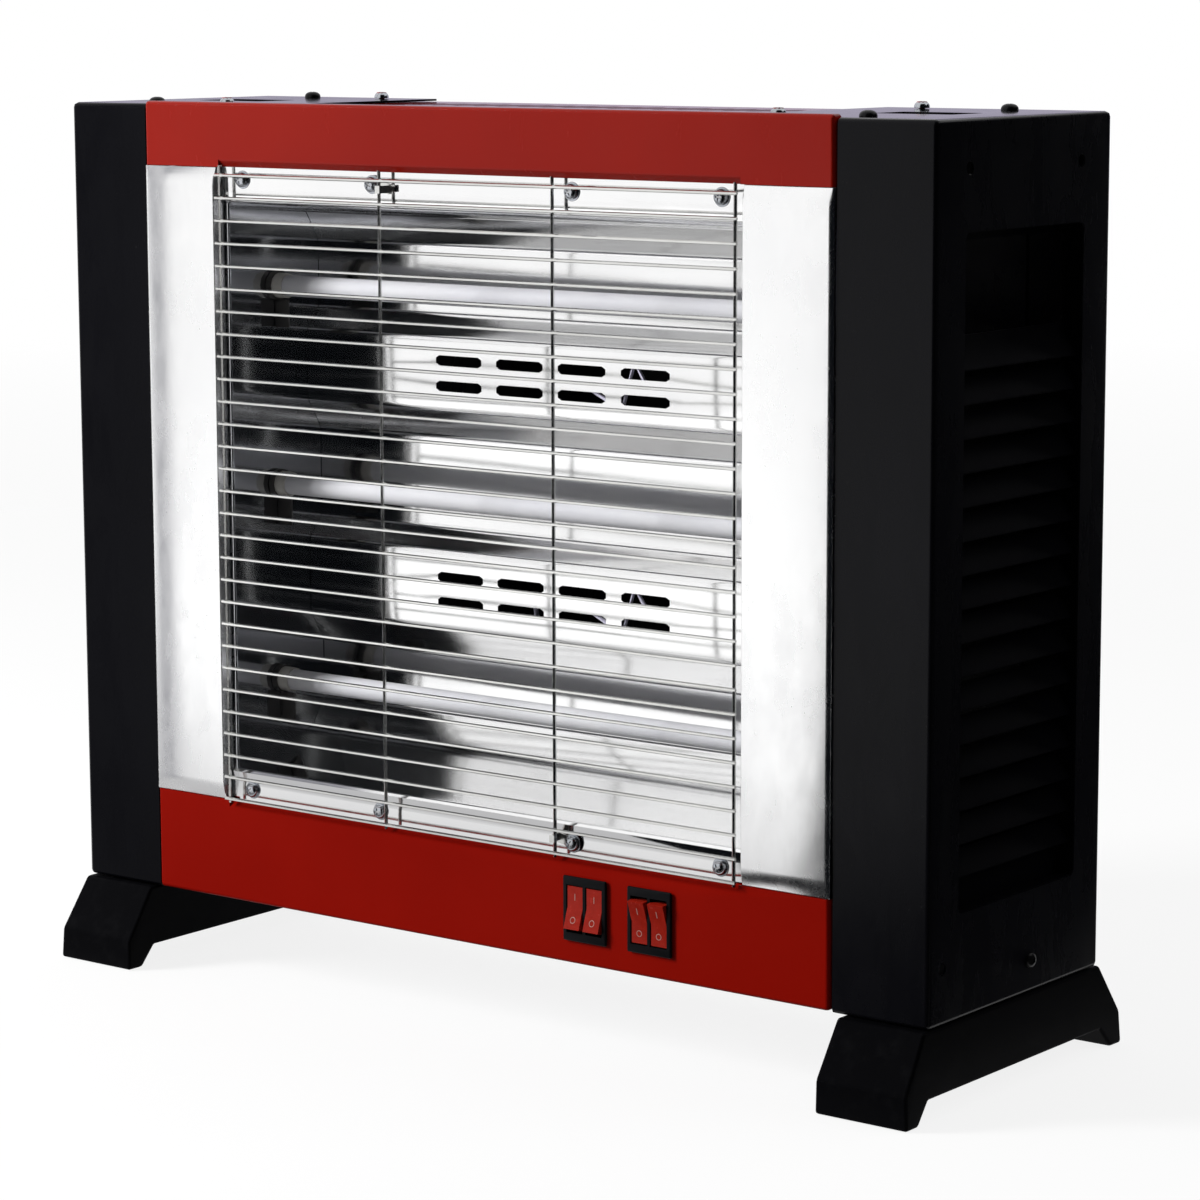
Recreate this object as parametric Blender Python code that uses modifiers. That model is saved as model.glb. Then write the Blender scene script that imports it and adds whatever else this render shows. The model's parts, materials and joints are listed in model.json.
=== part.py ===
"""Quartz heater with three tubes behind a wire guard, on two feet.

Metres, +Z up, front towards -Y, floor at Z = 0, centred on X = 0 and Y = 0.
Heights are measured from the cabinet's bottom and depths from the columns' front faces.
"""
import math

import bmesh
import bpy
from mathutils import Euler, Vector

# Clearances
GAP = 0.0003
PLAY = 0.00035

# Cabinet
BODY_WIDTH = 0.520
BODY_DEPTH = 0.147
BODY_HEIGHT = 0.4005
COLUMN_FACE = 0.0514
SHEET = 0.001
BEND_RADIUS = 0.0025
TOP_FLANGE_REACH = 0.069

# Feet
FOOT_HEIGHT = 0.0408
FOOT_INNER_INSET = 0.0044
FOOT_OUTER_FLARE = 0.0025
FOOT_REACH = 0.0200
FOOT_TOP_OVERHANG = 0.0025
FOOT_KNEE_HEIGHT = 0.0157
FOOT_KNEE_INSET = 0.0005
FOOT_TOE_LENGTH = 0.0098
FOOT_EDGE_RADIUS = 0.0015
ARCH_HEIGHT = 0.0102
ARCH_SLOPE = 0.009
FOOT_SCREW_INSET = 0.0285
FOOT_SCREW_SEAT = 0.030

# Louvred sides
RECESS_INSET = 0.0237
RECESS_LOW = 0.0486
RECESS_TOP_MARGIN = 0.0493
RECESS_DEPTH = 0.0085
RECESS_RIM = 0.0025
RECESS_CORNER = 0.003
LOUVRE_PITCH = 0.0151
LOUVRE_RISE = 0.0105
LOUVRE_THICKNESS = 0.0009
LOUVRE_FRONT_INSET = 0.0015
LOUVRE_MARGIN = 0.0140
HAND_HOLD_HEIGHT = 0.0414
HAND_HOLD_MARGIN = 0.0042
HAND_HOLD_CORNER = 0.006
SIDE_HOLE_RADIUS = 0.003
SIDE_HOLE_INSET = 0.0264
SIDE_HOLE_DROP = 0.0215
LOW_HOLE_INSET = 0.0111
LOW_HOLE_HEIGHT = 0.0261
TOP_HOLE_INSET = 0.0525
TOP_HOLE_LENGTH = 0.043
TOP_HOLE_WIDTH = 0.028

# Red front panels
PANEL_SIDE_GAP = 0.001
PANEL_PROUD = 0.0015
PANEL_RETURN = 0.006
PANEL_RADIUS = 0.002
PANEL_RISE = 0.0015
PANEL_CLEAR = 0.0010
WINDOW_LOW = 0.0525
WINDOW_TOP_MARGIN = 0.0302
LIP_HEIGHT = 0.0038
LIP_REACH = 0.0028
LIP_SLANT = 0.7

# Bright trims
TRIM_SIDE_GAP = 0.0006
TRIM_WIDTH = 0.048
TRIM_SHEET = 0.0006
TRIM_INNER_PROUD = 0.0035
TRIM_CROWN_PROUD = 0.0042
TRIM_CROWN_PLACE = 0.024
TRIM_SHOULDER_PROUD = 0.0024
TRIM_EDGE_RADIUS = 0.0026
TRIM_RETURN = 0.0045
TRIM_PINCH = 0.009
TRIM_PINCH_PROUD = 0.0012

# Inner walls
WALL_INSET = 0.0024
WALL_SHEET = 0.0008
WALL_FRONT = 0.0049
WALL_BACK = 0.0745
WALL_REAR_FLANGE = 0.016
WALL_TOP_TAB = 0.022
WALL_TAB_OVERRUN = 0.0085
WALL_BEND = 0.0012

# Reflector
REFLECTOR_SHEET = 0.0006
FLANGE_DEPTH = 0.0024
FLANGE_TUCK = 0.0050
CEILING_FRONT_DROP = 0.0178
CEILING_BACK_DROP = 0.0238
LAND_DEPTH = 0.0615
TROUGH_DEPTH = 0.0710
UPPER_LAND_TOP_DROP = 0.0236
UPPER_LAND_BOTTOM_RISE = 0.0411
LOWER_LAND_TOP_DROP = 0.0303
LOWER_LAND_BOTTOM_RISE = 0.0314
TROUGH_UPPER_SLOPE = 0.0152
TROUGH_LOWER_SLOPE = 0.0105
FLOOR_BACK_RISE = 0.0430
FLOOR_BEND_RISE = 0.0285
FLOOR_FRONT_RISE = 0.0150
FLOOR_FRONT_DEPTH = 0.0058
LIP_BEND_RISE = 0.0160
LIP_BEND_DEPTH = 0.0005
LOWER_KNEE_RISE = 0.0110
SLOT_LENGTH = 0.0298
SLOT_HEIGHT = 0.0052
SLOT_PITCH = 0.0384
SLOT_COLUMNS = 4
SLOT_ROW_PITCH = 0.0127
SLOT_MARGIN = 0.0040
REFLECTOR_BEND = 0.0016

# Heating tubes
TUBE_NAMES = ("top", "middle", "bottom")
TOP_TUBE_DROP = 0.0604
BOTTOM_TUBE_RISE = 0.0570
TUBE_DEPTH = 0.0380
TUBE_RADIUS = 0.0053
TUBE_WALL = 0.0010
CAP_RADIUS = 0.0063
CAP_LENGTH = 0.009
CAP_FLOOR = 0.0018
CAP_NECK_RADIUS = 0.0040
CAP_NECK_LENGTH = 0.012
COIL_RADIUS = 0.0034
COIL_WIRE = 0.00035
COIL_CURLS = 7
COIL_POINTS = 8
COIL_END = 0.012
COIL_LEAD = 0.0160
COIL_RUNUP = 0.0042
BRACKET_DROP = 0.021
BRACKET_SHEET = 0.0009
BRACKET_TAB = 0.007
RING_WIDTH = 0.003
RING_THICKNESS = 0.0008

# Wire guard
WIRE_RADIUS = 0.00085
WIRE_SIDES = 6
WIRE_COUNT = 29
WIRE_END_MARGIN = 0.0021
WIRE_TOP_DROP = 0.0039
WIRE_BOTTOM_RISE = 0.0012
WIRE_PROUD = 0.0042
WIRE_WELD = 0.0003
UPRIGHT_INNER = 0.0525
UPRIGHT_OUTER_INSET = 0.0018
UPRIGHT_OVERRUN = 0.0009
CLIP_SHEET = 0.0008
CLIP_WIDTH = 0.0048
CLIP_OVERRUN = 0.003
CLIP_DROP = 0.0020
HOOK_HEIGHT = 0.0036

# Screws
SCREW_SHANK = 0.0016
SCREW_SIDES = 8
HOLE_SIDES = 8
ROUND_HOLE_SIDES = 12
SHORT_SCREW_LENGTH = 0.0045
FLANGE_SCREW_LENGTH = 0.0060
FOOT_SCREW_LENGTH = 0.0165
FLANGE_SCREW_INSET = 0.0122
CLIPPED_SCREW_OFFSET = 0.0077
UPPER_SCREW_DROP = 0.0061
LOWER_SCREW_RISE = 0.0060
PAN_RADIUS = 0.0035
PAN_HEIGHT = 0.0024
CROWN_WIDTH = 0.7
CROWN_HEIGHT = 0.6
TOP_DARK_INSET = 0.0455
TOP_DARK_RADIUS = 0.0040
TOP_DARK_HEIGHT = 0.0042
TOP_BRIGHT_INSET = 0.006
TOP_BRIGHT_RADIUS = 0.0033
TOP_BRIGHT_HEIGHT = 0.0030
TOP_SCREW_MARGIN = 0.0150
SIDE_SCREW_Y = 0.0117
SIDE_SCREW_HEIGHT = 0.0156
REAR_SCREW_OVERLAP = 0.0035
REAR_SCREW_MARGIN = 0.030

# Rocker switches
SWITCH_XS = (0.0701, 0.1080)
SWITCH_NAMES = ("left", "right")
SWITCH_HEIGHT = 0.0281
BEZEL_WIDTH = 0.0255
BEZEL_HEIGHT = 0.0312
BEZEL_PROUD = 0.0020
BEZEL_EDGE = 0.0006
HOUSING_WALL = 0.0013
HOUSING_END_WALL = 0.0021
HOUSING_DEPTH = 0.0200
ROCKER_WIDTH = 0.0090
ROCKER_DIVIDER = 0.0016
ROCKER_HALF_HEIGHT = 0.0102
ROCKER_END_PLAY = 0.0013
ROCKER_FACE = 0.0052
ROCKER_DIP = 0.0016
ROCKER_BACK = 0.0042
ROCKER_END_DRAFT = 0.0002
ROCKER_EDGE = 0.0012
ROCKER_WAIST = 0.0006
ROCKER_WAIST_DEPTH = 0.4
ROCKER_BACK_HEIGHT = 0.45
ROCKER_TILT = math.radians(9)
PIVOT_INSET = 0.0040
PIVOT_RADIUS = 0.0012
PIVOT_REACH = 0.0006
POCKET_DEPTH = 0.0120
TAG_HEIGHT = 0.0063
TAG_LENGTH = 0.0075
TAG_SHEET = 0.0008

# Covers and hidden pieces
COVER_TUCK = 0.0126
COVER_FRONT_FLANGE = 0.013
COVER_BEND = 0.0015
CROSSBAR_LEG = 0.014
VENT_PITCH = 0.0138
VENT_LENGTH = 0.042
VENT_WIDTH = 0.0058
VENT_ROW_Y = 0.030
VENT_MARGIN = 0.0150
BACK_OVERLAP = 0.008
BACK_VENT_DROPS = (0.0705, 0.0925)
BACK_VENT_RISES = (0.100, 0.078)
BACK_VENT_COLUMNS = 3
BACK_VENT_PITCH = 0.108
BACK_VENT_LENGTH = 0.088
BACK_VENT_WIDTH = 0.006
BASE_VENT_Y = 0.045
GLAND_X = -0.150
GLAND_HEIGHT = 0.034
GLAND_RADIUS = 0.0085
GLAND_BORE = 0.0038
GLAND_NECK = 0.0062
GLAND_FLANGE = 0.0022
GLAND_REACH = 0.004
CUTOUT_X = 0.060
CUTOUT_RADIUS = 0.0075
CUTOUT_HEIGHT = 0.0080
CUTOUT_FLANGE = 0.0120
BLOCK_X = -0.090
BLOCK_Y = 0.020
BLOCK_LENGTH = 0.044
BLOCK_HALF_DEPTH = 0.009
BLOCK_BASE = 0.007
WIRE_WAY_COUNT = 3
WIRE_WAY_HALF_WIDTH = 0.005
WIRE_WAY_HALF_DEPTH = 0.007
WIRE_WAY_TOP = 0.015
TIP_SWITCH_X = -0.020
TIP_SWITCH_Y = 0.020
TIP_HALF_WIDTH = 0.010
TIP_HALF_DEPTH = 0.014
TIP_BODY_HEIGHT = 0.022
TIP_BODY_EDGE = 0.0012
TIP_FOOT_HALF_WIDTH = 0.018
TIP_FOOT_HALF_DEPTH = 0.008
TIP_FOOT_HEIGHT = 0.0025
TIP_TAG_OFFSET = 0.005
CABLE_RADIUS = 0.0012
CABLE_SWING = 0.012

# Derived places
BODY_BOTTOM = FOOT_HEIGHT + GAP
FRONT = -BODY_DEPTH / 2
REAR = BODY_DEPTH / 2
SIDE = BODY_WIDTH / 2
COLUMN_INNER = SIDE - COLUMN_FACE
COLUMN_MIDDLE = SIDE - COLUMN_FACE / 2
PANEL_HALF_WIDTH = COLUMN_INNER - PANEL_SIDE_GAP
PANEL_FRONT = FRONT - PANEL_PROUD
PANEL_BACK = PANEL_FRONT + PANEL_RETURN
WINDOW_HIGH = BODY_HEIGHT - WINDOW_TOP_MARGIN
RECESS_HIGH = BODY_HEIGHT - RECESS_TOP_MARGIN
RECESS_HALF_WIDTH = BODY_DEPTH / 2 - RECESS_INSET
SIDE_HOLE_SPREAD = BODY_DEPTH / 2 - SIDE_HOLE_INSET
LOW_HOLE_Y = FRONT + LOW_HOLE_INSET
FOOT_SCREW_SPREAD = BODY_DEPTH / 2 - FOOT_SCREW_INSET
TOP_SCREW_Y = BODY_DEPTH / 2 - TOP_SCREW_MARGIN
HAND_HOLD_HIGH = RECESS_HIGH - HAND_HOLD_MARGIN
HAND_HOLD_LOW = HAND_HOLD_HIGH - HAND_HOLD_HEIGHT
LOUVRE_COUNT = int((HAND_HOLD_LOW - RECESS_LOW - LOUVRE_MARGIN) / LOUVRE_PITCH)
LOUVRE_LOWEST = HAND_HOLD_LOW - LOUVRE_COUNT * LOUVRE_PITCH
TRIM_OUTER = COLUMN_INNER - TRIM_SIDE_GAP
TRIM_INNER = TRIM_OUTER - TRIM_WIDTH
WALL_X = TRIM_INNER - WALL_INSET
REFLECTOR_HALF_WIDTH = WALL_X - GAP
LIP_HALF_WIDTH = WALL_X + GAP
TOP_TUBE = WINDOW_HIGH - TOP_TUBE_DROP
BOTTOM_TUBE = WINDOW_LOW + BOTTOM_TUBE_RISE
MIDDLE_TUBE = (TOP_TUBE + BOTTOM_TUBE) / 2
TUBE_HEIGHTS = (TOP_TUBE, MIDDLE_TUBE, BOTTOM_TUBE)
UPPER_LAND_TOP = TOP_TUBE - UPPER_LAND_TOP_DROP
UPPER_LAND_BOTTOM = MIDDLE_TUBE + UPPER_LAND_BOTTOM_RISE
LOWER_LAND_TOP = MIDDLE_TUBE - LOWER_LAND_TOP_DROP
LOWER_LAND_BOTTOM = BOTTOM_TUBE + LOWER_LAND_BOTTOM_RISE
TUBE_Y = FRONT + TUBE_DEPTH
TUBE_END = WALL_X - GAP - CAP_FLOOR - GAP
BASE_LOW = SHEET + GAP
BASE_HIGH = BASE_LOW + SHEET
COVER_HIGH = BODY_HEIGHT - SHEET - GAP
COVER_LOW = COVER_HIGH - SHEET
COVER_HALF_WIDTH = TRIM_INNER + COVER_TUCK
TOP_BRIGHT_X = COVER_HALF_WIDTH - TOP_BRIGHT_INSET
WALL_HIGH = COVER_LOW - GAP
VENT_COUNT = 2 * int((COLUMN_INNER - TOP_FLANGE_REACH - VENT_MARGIN) / VENT_PITCH) + 1
BACK_PANEL_FACE = REAR - SHEET - GAP
BACK_PANEL_Y = BACK_PANEL_FACE - SHEET
BACK_VENT_HEIGHTS = tuple(BODY_HEIGHT - drop for drop in BACK_VENT_DROPS) + BACK_VENT_RISES
OUTER_SCREW_X = REFLECTOR_HALF_WIDTH - FLANGE_SCREW_INSET
INNER_SCREW_X = UPRIGHT_INNER + CLIPPED_SCREW_OFFSET
FLANGE_SCREW_XS = (-OUTER_SCREW_X, -INNER_SCREW_X, INNER_SCREW_X, OUTER_SCREW_X)
UPPER_SCREW_HEIGHT = WINDOW_HIGH - UPPER_SCREW_DROP
LOWER_SCREW_HEIGHT = WINDOW_LOW + LOWER_SCREW_RISE
WIRE_Y = FRONT - WIRE_PROUD
UPRIGHT_Y = WIRE_Y + 2 * WIRE_RADIUS - WIRE_WELD
POCKET_WIDTH = ROCKER_WIDTH + 2 * PLAY
POCKET_HALF_HEIGHT = ROCKER_HALF_HEIGHT + ROCKER_END_PLAY
HOUSING_WIDTH = 2 * POCKET_WIDTH + ROCKER_DIVIDER + 2 * HOUSING_WALL
HOUSING_HEIGHT = 2 * (POCKET_HALF_HEIGHT + HOUSING_END_WALL)
BEZEL_FRONT = PANEL_FRONT - BEZEL_PROUD
PIVOT_Y = BEZEL_FRONT + PIVOT_INSET
HOLE_RADIUS = SCREW_SHANK + GAP
BEHIND_LAND = FRONT + LAND_DEPTH + REFLECTOR_SHEET + GAP + CABLE_RADIUS

# Turns that lay an outline drawn in XY across the object
LOCAL_Z_TO_X = (0.0, math.pi / 2, 0.0)
LOCAL_Z_TO_BACK = (-math.pi / 2, 0.0, 0.0)
SIDE_OUTLINE = (math.pi / 2, 0.0, math.pi / 2)
FRONT_OUTLINE = (math.pi / 2, 0.0, 0.0)


def level(height):
    """World height of a height above the cabinet's bottom."""
    return BODY_BOTTOM + height


def clear_scene():
    for item in list(bpy.data.objects):
        bpy.data.objects.remove(item, do_unlink=True)


def new_collection(name):
    group = bpy.data.collections.new(name)
    bpy.context.scene.collection.children.link(group)
    return group


def new_material(name, colour, roughness, metallic=0.0, alpha=1.0):
    made = bpy.data.materials.new(name)
    made.use_nodes = True
    shader = made.node_tree.nodes["Principled BSDF"]
    shader.inputs["Base Color"].default_value = (*colour, 1.0)
    shader.inputs["Roughness"].default_value = roughness
    shader.inputs["Metallic"].default_value = metallic
    shader.inputs["Alpha"].default_value = alpha
    return made


def add_part(name, mesh, material, location=(0, 0, 0), rotation=(0, 0, 0)):
    made = bpy.data.objects.new(name, mesh)
    made.location = location
    made.rotation_euler = rotation
    made.data.materials.clear()
    made.data.materials.append(material)
    parts.objects.link(made)
    return made


def add_guide(name, mesh, location=(0, 0, 0), rotation=(0, 0, 0)):
    made = bpy.data.objects.new(name, mesh)
    made.location = location
    made.rotation_euler = rotation
    made.hide_render = True
    made.display_type = "WIRE"
    guides.objects.link(made)
    return made


def mesh_from(name, bm, smooth=False):
    mesh = bpy.data.meshes.new(name)
    bm.to_mesh(mesh)
    bm.free()
    if smooth:
        mesh.shade_smooth()
        mesh.set_sharp_from_angle(angle=math.radians(40))
    return mesh


def evaluated_mesh(item):
    bpy.context.view_layer.update()
    depsgraph = bpy.context.evaluated_depsgraph_get()
    return bpy.data.meshes.new_from_object(item.evaluated_get(depsgraph), depsgraph=depsgraph)


def block(name, x_span, y_span, z_span):
    """Closed block between world limits in X and Y and heights in Z, with its centre."""
    x0, x1 = sorted(x_span)
    y0, y1 = sorted(y_span)
    z0, z1 = sorted((level(z_span[0]), level(z_span[1])))
    bm = bmesh.new()
    bmesh.ops.create_cube(bm, size=1.0)
    bmesh.ops.scale(bm, vec=(x1 - x0, y1 - y0, z1 - z0), verts=bm.verts)
    return mesh_from(name, bm), ((x0 + x1) / 2, (y0 + y1) / 2, (z0 + z1) / 2)


def block_part(name, material, x_span, y_span, z_span):
    mesh, centre = block(name, x_span, y_span, z_span)
    return add_part(name, mesh, material, centre)


def block_guide(name, x_span, y_span, z_span):
    mesh, centre = block(name, x_span, y_span, z_span)
    return add_guide(name, mesh, centre)


def open_block(name, x_span, y_span, z_span, open_sides):
    """Block without the faces that point along the given directions."""
    mesh, centre = block(name, x_span, y_span, z_span)
    bm = bmesh.new()
    bm.from_mesh(mesh)
    bpy.data.meshes.remove(mesh)
    bm.normal_update()
    gone = [face for face in bm.faces if any(face.normal.dot(Vector(way)) > 0.9 for way in open_sides)]
    bmesh.ops.delete(bm, geom=gone, context="FACES")
    return mesh_from(name, bm), centre


def outline_mesh(name, outlines, depth):
    """Flat outlines as slabs along local Z; an outline inside another is a hole."""
    curve = bpy.data.curves.new(name, "CURVE")
    curve.dimensions = "2D"
    curve.fill_mode = "BOTH"
    curve.extrude = depth / 2
    for outline in outlines:
        spline = curve.splines.new("POLY")
        spline.points.add(len(outline) - 1)
        spline.use_cyclic_u = True
        for point, (u, v) in zip(spline.points, outline):
            point.co = (u, v, 0.0, 1.0)
    holder = bpy.data.objects.new(name + "_outline", curve)
    guides.objects.link(holder)
    mesh = evaluated_mesh(holder)
    bpy.data.objects.remove(holder, do_unlink=True)
    bm = bmesh.new()
    bm.from_mesh(mesh)
    bpy.data.meshes.remove(mesh)
    bmesh.ops.remove_doubles(bm, verts=bm.verts, dist=0.000005)
    bmesh.ops.dissolve_limit(bm, angle_limit=math.radians(1), verts=bm.verts, edges=bm.edges)
    bmesh.ops.recalc_face_normals(bm, faces=bm.faces)
    return mesh_from(name, bm)


def rectangle(u_span, v_span):
    u0, u1 = u_span
    v0, v1 = v_span
    return [(u0, v0), (u1, v0), (u1, v1), (u0, v1)]


def arc(centre, radius, start, end, steps):
    """Points of an arc between two angles in degrees."""
    made = []
    for step in range(steps + 1):
        turn = math.radians(start + (end - start) * step / steps)
        made.append((centre[0] + radius * math.cos(turn), centre[1] + radius * math.sin(turn)))
    return made


def rounded_rectangle(u_span, v_span, radius, steps=3):
    u0, u1 = u_span
    v0, v1 = v_span
    outline = arc((u1 - radius, v0 + radius), radius, -90, 0, steps)
    outline += arc((u1 - radius, v1 - radius), radius, 0, 90, steps)
    outline += arc((u0 + radius, v1 - radius), radius, 90, 180, steps)
    outline += arc((u0 + radius, v0 + radius), radius, 180, 270, steps)
    return outline


def obround(centre, length, width, angle=0.0, steps=4):
    """Slot with round ends, turned about its centre."""
    half = (length - width) / 2
    straight = arc((half, 0.0), width / 2, -90, 90, steps) + arc((-half, 0.0), width / 2, 90, 270, steps)
    return [(centre[0] + u * math.cos(angle) - v * math.sin(angle),
             centre[1] + u * math.sin(angle) + v * math.cos(angle)) for u, v in straight]


def sheet_along(path, run):
    """Open strip through a path of points, drawn out by a run, its face to the right of travel."""
    bm = bmesh.new()
    verts = [bm.verts.new(point) for point in path]
    edges = [bm.edges.new(pair) for pair in zip(verts[:-1], verts[1:])]
    made = bmesh.ops.extrude_edge_only(bm, edges=edges)
    moved = [item for item in made["geom"] if isinstance(item, bmesh.types.BMVert)]
    bmesh.ops.translate(bm, vec=run, verts=moved)
    bmesh.ops.recalc_face_normals(bm, faces=bm.faces)
    bm.faces.ensure_lookup_table()
    wanted = (verts[1].co - verts[0].co).cross(Vector(run))
    first = next(face for face in bm.faces if verts[0] in face.verts and verts[1] in face.verts)
    if first.normal.dot(wanted) < 0:
        bmesh.ops.reverse_faces(bm, faces=bm.faces)
    return bm


def folded_sheet(name, section, half_width):
    """Sheet with a section of (y, height) points, centred on X; its face is outside the section."""
    bm = sheet_along([(-half_width, y, level(height)) for y, height in section], (2 * half_width, 0, 0))
    return mesh_from(name, bm)


def upright_sheet(name, plan, z_span):
    """Sheet with a plan of (x, y) points between two heights."""
    low, high = level(z_span[0]), level(z_span[1])
    return mesh_from(name, sheet_along([(x, y, low) for x, y in plan], (0, 0, high - low)))


def add_bevel(item, width, segments=2, angle=30):
    modifier = item.modifiers.new("rounded_edges", "BEVEL")
    modifier.width = width
    modifier.segments = segments
    modifier.limit_method = "ANGLE"
    modifier.angle_limit = math.radians(angle)


def add_thickness(item, thickness):
    modifier = item.modifiers.new("thickness", "SOLIDIFY")
    modifier.thickness = thickness
    modifier.offset = -1.0
    modifier.use_even_offset = True


def add_boolean(item, other, operation):
    modifier = item.modifiers.new(operation.lower() + "_" + other.name, "BOOLEAN")
    modifier.operation = operation
    modifier.solver = "EXACT"
    modifier.object = other


def cut(item, other):
    add_boolean(item, other, "DIFFERENCE")


def unite(item, other):
    add_boolean(item, other, "UNION")


def revolved(name, profile, steps=16, closed=True):
    """Piece turned about local Z from (radius, height) points, outer side from top to bottom."""
    bm = bmesh.new()
    verts = [bm.verts.new((radius, 0.0, height)) for radius, height in profile]
    for pair in zip(verts[:-1], verts[1:]):
        bm.edges.new(pair)
    if closed:
        bm.edges.new((verts[-1], verts[0]))
    holder = bpy.data.objects.new(name + "_profile", mesh_from(name + "_profile", bm))
    guides.objects.link(holder)
    screw = holder.modifiers.new("turn", "SCREW")
    screw.axis = "Z"
    screw.steps = steps
    screw.render_steps = steps
    screw.use_merge_vertices = True
    screw.merge_threshold = 0.00001
    turned = evaluated_mesh(holder)
    bpy.data.objects.remove(holder, do_unlink=True)
    bm = bmesh.new()
    bm.from_mesh(turned)
    bpy.data.meshes.remove(turned)
    bmesh.ops.recalc_face_normals(bm, faces=bm.faces)
    return mesh_from(name, bm, smooth=True)


def add_rod(bm, start, end, radius, sides):
    start, end = Vector(start), Vector(end)
    run = end - start
    place = run.to_track_quat("Z", "Y").to_matrix().to_4x4()
    place.translation = (start + end) / 2
    bmesh.ops.create_cone(bm, cap_ends=True, segments=sides, radius1=radius, radius2=radius,
                          depth=run.length, matrix=place)


def rods_guide(name, ends, radius, sides=HOLE_SIDES):
    """Cutter made of round rods between pairs of world points."""
    bm = bmesh.new()
    for start, end in ends:
        add_rod(bm, start, end, radius, sides)
    return add_guide(name, mesh_from(name, bm))


def wire_mesh(name, points, radius, resolution):
    """Closed round wire along a chain of points."""
    curve = bpy.data.curves.new(name, "CURVE")
    curve.dimensions = "3D"
    curve.bevel_depth = radius
    curve.bevel_resolution = resolution
    curve.use_fill_caps = True
    spline = curve.splines.new("POLY")
    spline.points.add(len(points) - 1)
    for point, place in zip(spline.points, points):
        point.co = (*place, 1.0)
    holder = bpy.data.objects.new(name + "_path", curve)
    guides.objects.link(holder)
    mesh = evaluated_mesh(holder)
    bpy.data.objects.remove(holder, do_unlink=True)
    bm = bmesh.new()
    bm.from_mesh(mesh)
    bpy.data.meshes.remove(mesh)
    bmesh.ops.remove_doubles(bm, verts=bm.verts, dist=0.00001)
    bmesh.ops.recalc_face_normals(bm, faces=bm.faces)
    return mesh_from(name, bm, smooth=True)


def pan_screw(name, head_radius, head_height, length, domed=True):
    """Screw with its seat at the origin and its head towards +Z."""
    crown = [(head_radius, head_height)]
    if domed:
        crown = [(head_radius * CROWN_WIDTH, head_height), (head_radius, head_height * CROWN_HEIGHT)]
    shank = [(head_radius, 0.0), (SCREW_SHANK, 0.0), (SCREW_SHANK, -length), (0.0, -length)]
    return revolved(name, [(0.0, head_height)] + crown + shank, steps=SCREW_SIDES, closed=False)


def head_turn(head_way):
    return Vector((0, 0, 1)).rotation_difference(Vector(head_way))


def add_screws(item, name, mesh, places, head_way):
    """Joins like screws to the piece that their shanks are driven into, heads along head_way."""
    turn = head_turn(head_way).to_matrix().to_4x4()
    bm = bmesh.new()
    for place in places:
        first = len(bm.verts)
        bm.from_mesh(mesh)
        bm.verts.ensure_lookup_table()
        fresh = bm.verts[first:]
        bmesh.ops.transform(bm, matrix=turn, verts=fresh)
        bmesh.ops.translate(bm, vec=place, verts=fresh)
    unite(item, add_guide(name, mesh_from(name, bm)))


def end_cover(name, side):
    """Folded cover of one end: column front, side, rear, top and bottom, with a top flange."""
    mesh, centre = open_block(name, (side * COLUMN_INNER, side * SIDE), (FRONT, REAR), (0.0, BODY_HEIGHT),
                              [(-side, 0, 0)])
    cover = add_part(name, mesh, black_paint, centre)
    add_bevel(cover, BEND_RADIUS, 2)
    add_thickness(cover, SHEET)
    flange = block_guide(name + "_top_flange",
                         (side * (COLUMN_INNER - TOP_FLANGE_REACH), side * (COLUMN_INNER + 2 * SHEET)),
                         (PANEL_BACK + GAP, REAR - BEND_RADIUS - GAP), (BODY_HEIGHT - SHEET, BODY_HEIGHT))
    unite(cover, flange)
    opening = rounded_rectangle((-RECESS_HALF_WIDTH, RECESS_HALF_WIDTH),
                                (level(RECESS_LOW), level(RECESS_HIGH)), RECESS_CORNER)
    side_opening = outline_mesh(name + "_side_opening", [opening], 4 * BEND_RADIUS)
    cut(cover, add_guide(name + "_side_opening", side_opening, (side * SIDE, 0, 0), SIDE_OUTLINE))
    hole = rounded_rectangle((-TOP_HOLE_LENGTH / 2, TOP_HOLE_LENGTH / 2),
                             (-TOP_HOLE_WIDTH / 2, TOP_HOLE_WIDTH / 2), BEND_RADIUS)
    top_hole = outline_mesh(name + "_top_hole", [hole], 4 * SHEET)
    cut(cover, add_guide(name + "_top_hole", top_hole, (side * (SIDE - TOP_HOLE_INSET), 0, level(BODY_HEIGHT))))
    high = level(BODY_HEIGHT - SIDE_HOLE_DROP)
    low = level(LOW_HOLE_HEIGHT)
    hole_places = ((-SIDE_HOLE_SPREAD, high), (SIDE_HOLE_SPREAD, high), (LOW_HOLE_Y, low))
    cut(cover, rods_guide(name + "_side_holes",
                          [((side * (SIDE - 3 * SHEET), y, z), (side * (SIDE + 3 * SHEET), y, z))
                           for y, z in hole_places], SIDE_HOLE_RADIUS, ROUND_HOLE_SIDES))
    for holes in (top_screw_holes, rear_screw_holes, side_screw_holes):
        cut(cover, holes)
    foot_screw = pan_screw(name + "_foot_screw", PAN_RADIUS, PAN_HEIGHT, FOOT_SCREW_LENGTH, False)
    add_screws(cover, name + "_foot_screws", foot_screw,
               [(side * COLUMN_MIDDLE, end * FOOT_SCREW_SPREAD, FOOT_SCREW_SEAT - GAP) for end in (-1, 1)],
               (0, 0, -1))


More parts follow.
